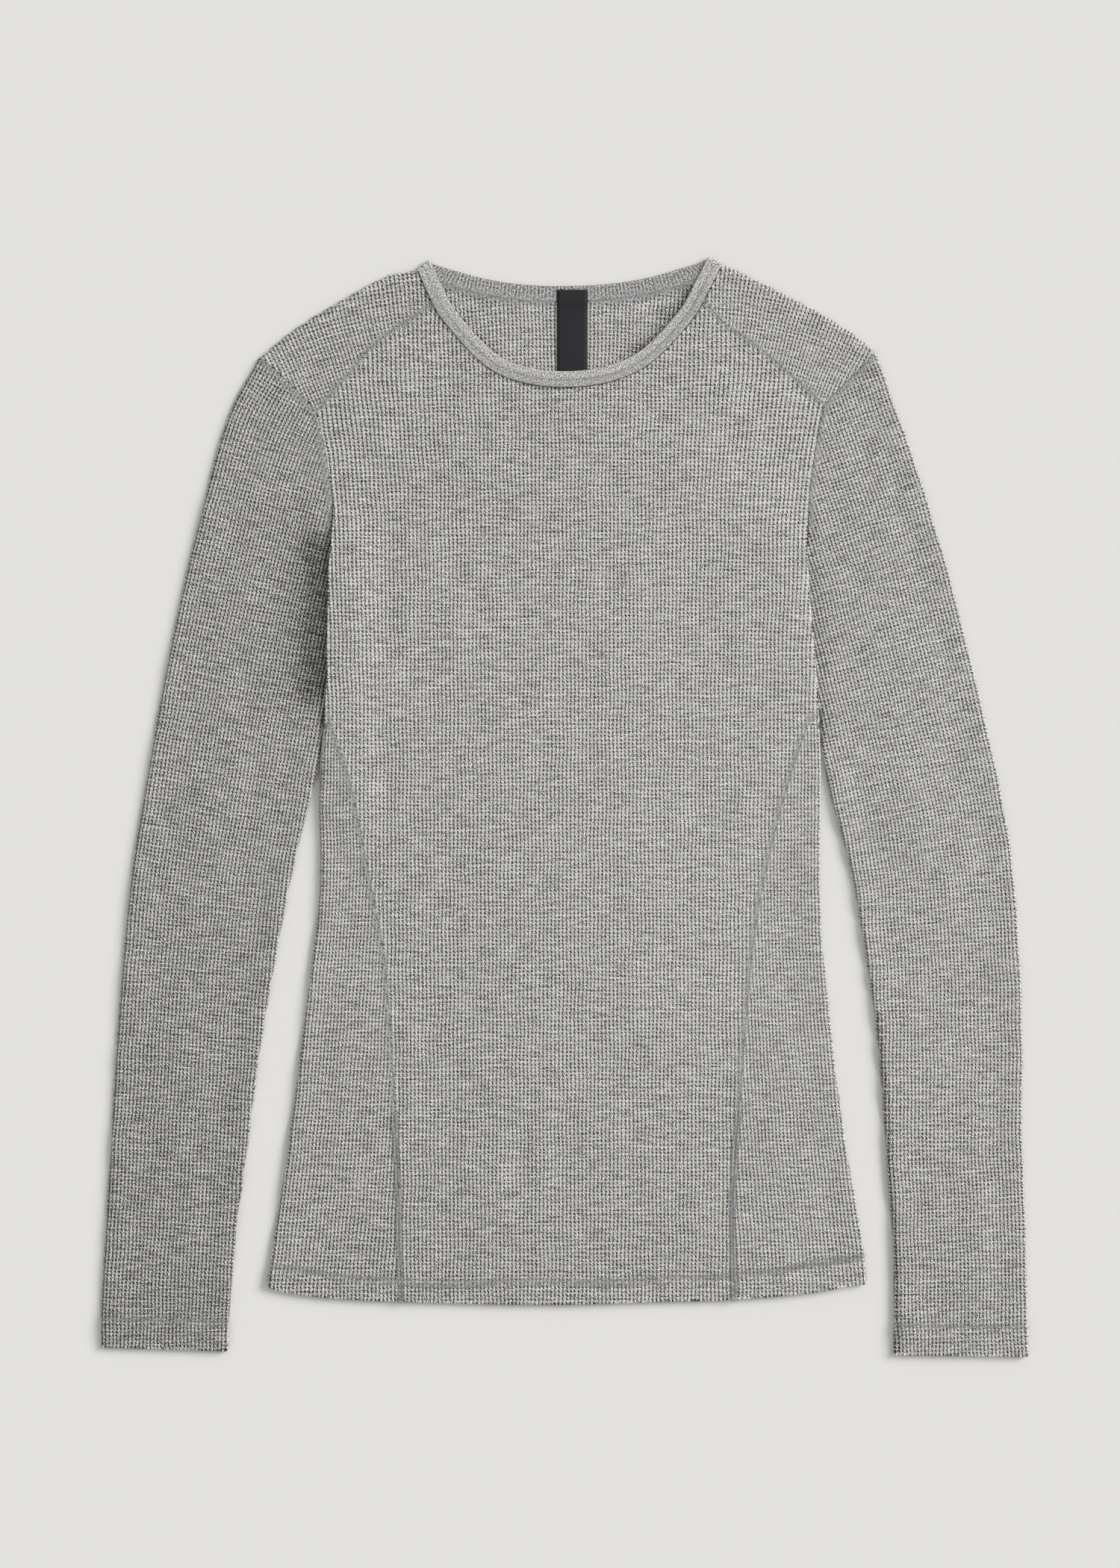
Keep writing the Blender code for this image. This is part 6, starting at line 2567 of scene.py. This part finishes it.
    def _cuff(self, side: Side, sleeve: Sleeve) -> None:
        """The coverstitched cuff."""
        outer, inner = (
            at_lengths(edge, run_lengths(edge)[-1:] - CUFF_DEPTH + 1.0)[0]
            for edge in (side.sleeve_outer, side.sleeve_inner))
        run = outer - inner
        line = np.vstack([inner + run * self.CUFF_INSET, outer - run * self.CUFF_INSET])
        sleeve.sew(f"cuff_{side.name}_hatch", sleeve.surface, line, COVER,
                   self.wardrobe.hem_thread)

    def _hem(self) -> None:
        """The coverstitched hem, across the front and both side panels."""
        line = smooth_line(HEM_STITCHES)
        front, thread = self.pieces["front_panel"], self.wardrobe.hem_thread
        front.sew("hem_hatch", self.body, line, COVER, thread)
        for label, shift in self.HEM_NEEDLES.items():
            front.sew(f"hem_needle_{label}", self.body, moved_left(line, shift), NEEDLE, thread)


# --- Studio -----------------------------------------------------------------------------------

@dataclass(frozen=True)
class Studio:
    """A pale floor, a soft key light from the upper right, fill and a camera straight above."""

    floor_size: float = 8.0
    floor_drop: float = 0.0002
    camera_place: tuple[float, float, float] = (-0.00325, 0.0155, 2.5)
    frame_height: float = 1.05
    sensor: float = 36.0
    clip_end: float = 20.0
    key_azimuth: float = 28.0
    key_elevation: float = 34.0
    key_distance: float = 3.0
    key_spread: float = 32.0
    key_strength: float = 2.5
    key_colour: tuple[float, float, float] = (1.0, 0.985, 0.96)
    fill_strength: float = 0.61

    def build(self) -> None:
        """Set up the floor, lights, camera and colour management."""
        self._floor()
        self._key()
        self._world()
        self._camera()
        view = bpy.context.scene.view_settings
        view.view_transform = "Standard"
        view.look = "None"

    def _floor(self) -> None:
        """Lay the floor."""
        half = self.floor_size / 2
        mesh = bpy.data.meshes.new("floor")
        corners = [(-half, -half), (half, -half), (half, half), (-half, half)]
        mesh.from_pydata([(x, y, -self.floor_drop) for x, y in corners], [], [(0, 1, 2, 3)])
        mesh.materials.append(FloorFinish().material())
        shown("floor", mesh)

    def _key(self) -> None:
        """Set the key light, as far away as a soft sun so that the floor is even."""
        light = bpy.data.lights.new("key", "SUN")
        light.angle = math.radians(self.key_spread)
        light.energy = self.key_strength
        light.color = self.key_colour
        turn, rise = math.radians(self.key_azimuth), math.radians(self.key_elevation)
        direction = Vector((
            math.cos(rise) * math.cos(turn), math.cos(rise) * math.sin(turn), math.sin(rise)))
        lamp = shown("key", light)
        lamp.location = direction * self.key_distance
        lamp.rotation_euler = direction.to_track_quat("Z", "Y").to_euler()

    def _world(self) -> None:
        """Set the even fill."""
        world = bpy.data.worlds.new("fill")
        world.use_nodes = True
        background = world.node_tree.nodes["Background"]
        background.inputs["Color"].default_value = (1.0, 1.0, 1.0, 1.0)
        background.inputs["Strength"].default_value = self.fill_strength
        bpy.context.scene.world = world

    def _camera(self) -> None:
        """Hang the camera."""
        camera = bpy.data.cameras.new("camera")
        camera.lens = self.sensor * self.camera_place[2] / self.frame_height
        camera.sensor_width = self.sensor
        camera.clip_end = self.clip_end
        holder = shown("camera", camera)
        holder.location = self.camera_place
        bpy.context.scene.camera = holder


def main() -> None:
    """Build the pieces, sew them and set up the studio."""
    logging.basicConfig(level=logging.INFO, format="%(message)s")
    wardrobe = Wardrobe()
    pieces: list[ClothPiece] = [
        BackPanel(wardrobe, "back_panel", 3),
        Sleeve(wardrobe, LEFT, 5),
        Sleeve(wardrobe, RIGHT, 7),
        SidePanel(wardrobe, LEFT, 11),
        SidePanel(wardrobe, RIGHT, 13),
        FrontPanel(wardrobe, "front_panel", 17),
        Yoke(wardrobe, LEFT, 19),
        Yoke(wardrobe, RIGHT, 23),
        NeckLabel(wardrobe, "neck_label", 29),
        Neckband(wardrobe, "neckband", 31),
    ]
    for piece in pieces:
        piece.build()
        log.info("%s: %d triangles", piece.piece.name, len(piece.piece.data.polygons))
    Sewing(wardrobe, {piece.node: piece for piece in pieces}).sew()
    for piece in pieces:
        piece.declare()
    Studio().build()


if __name__ == "__main__":
    main()
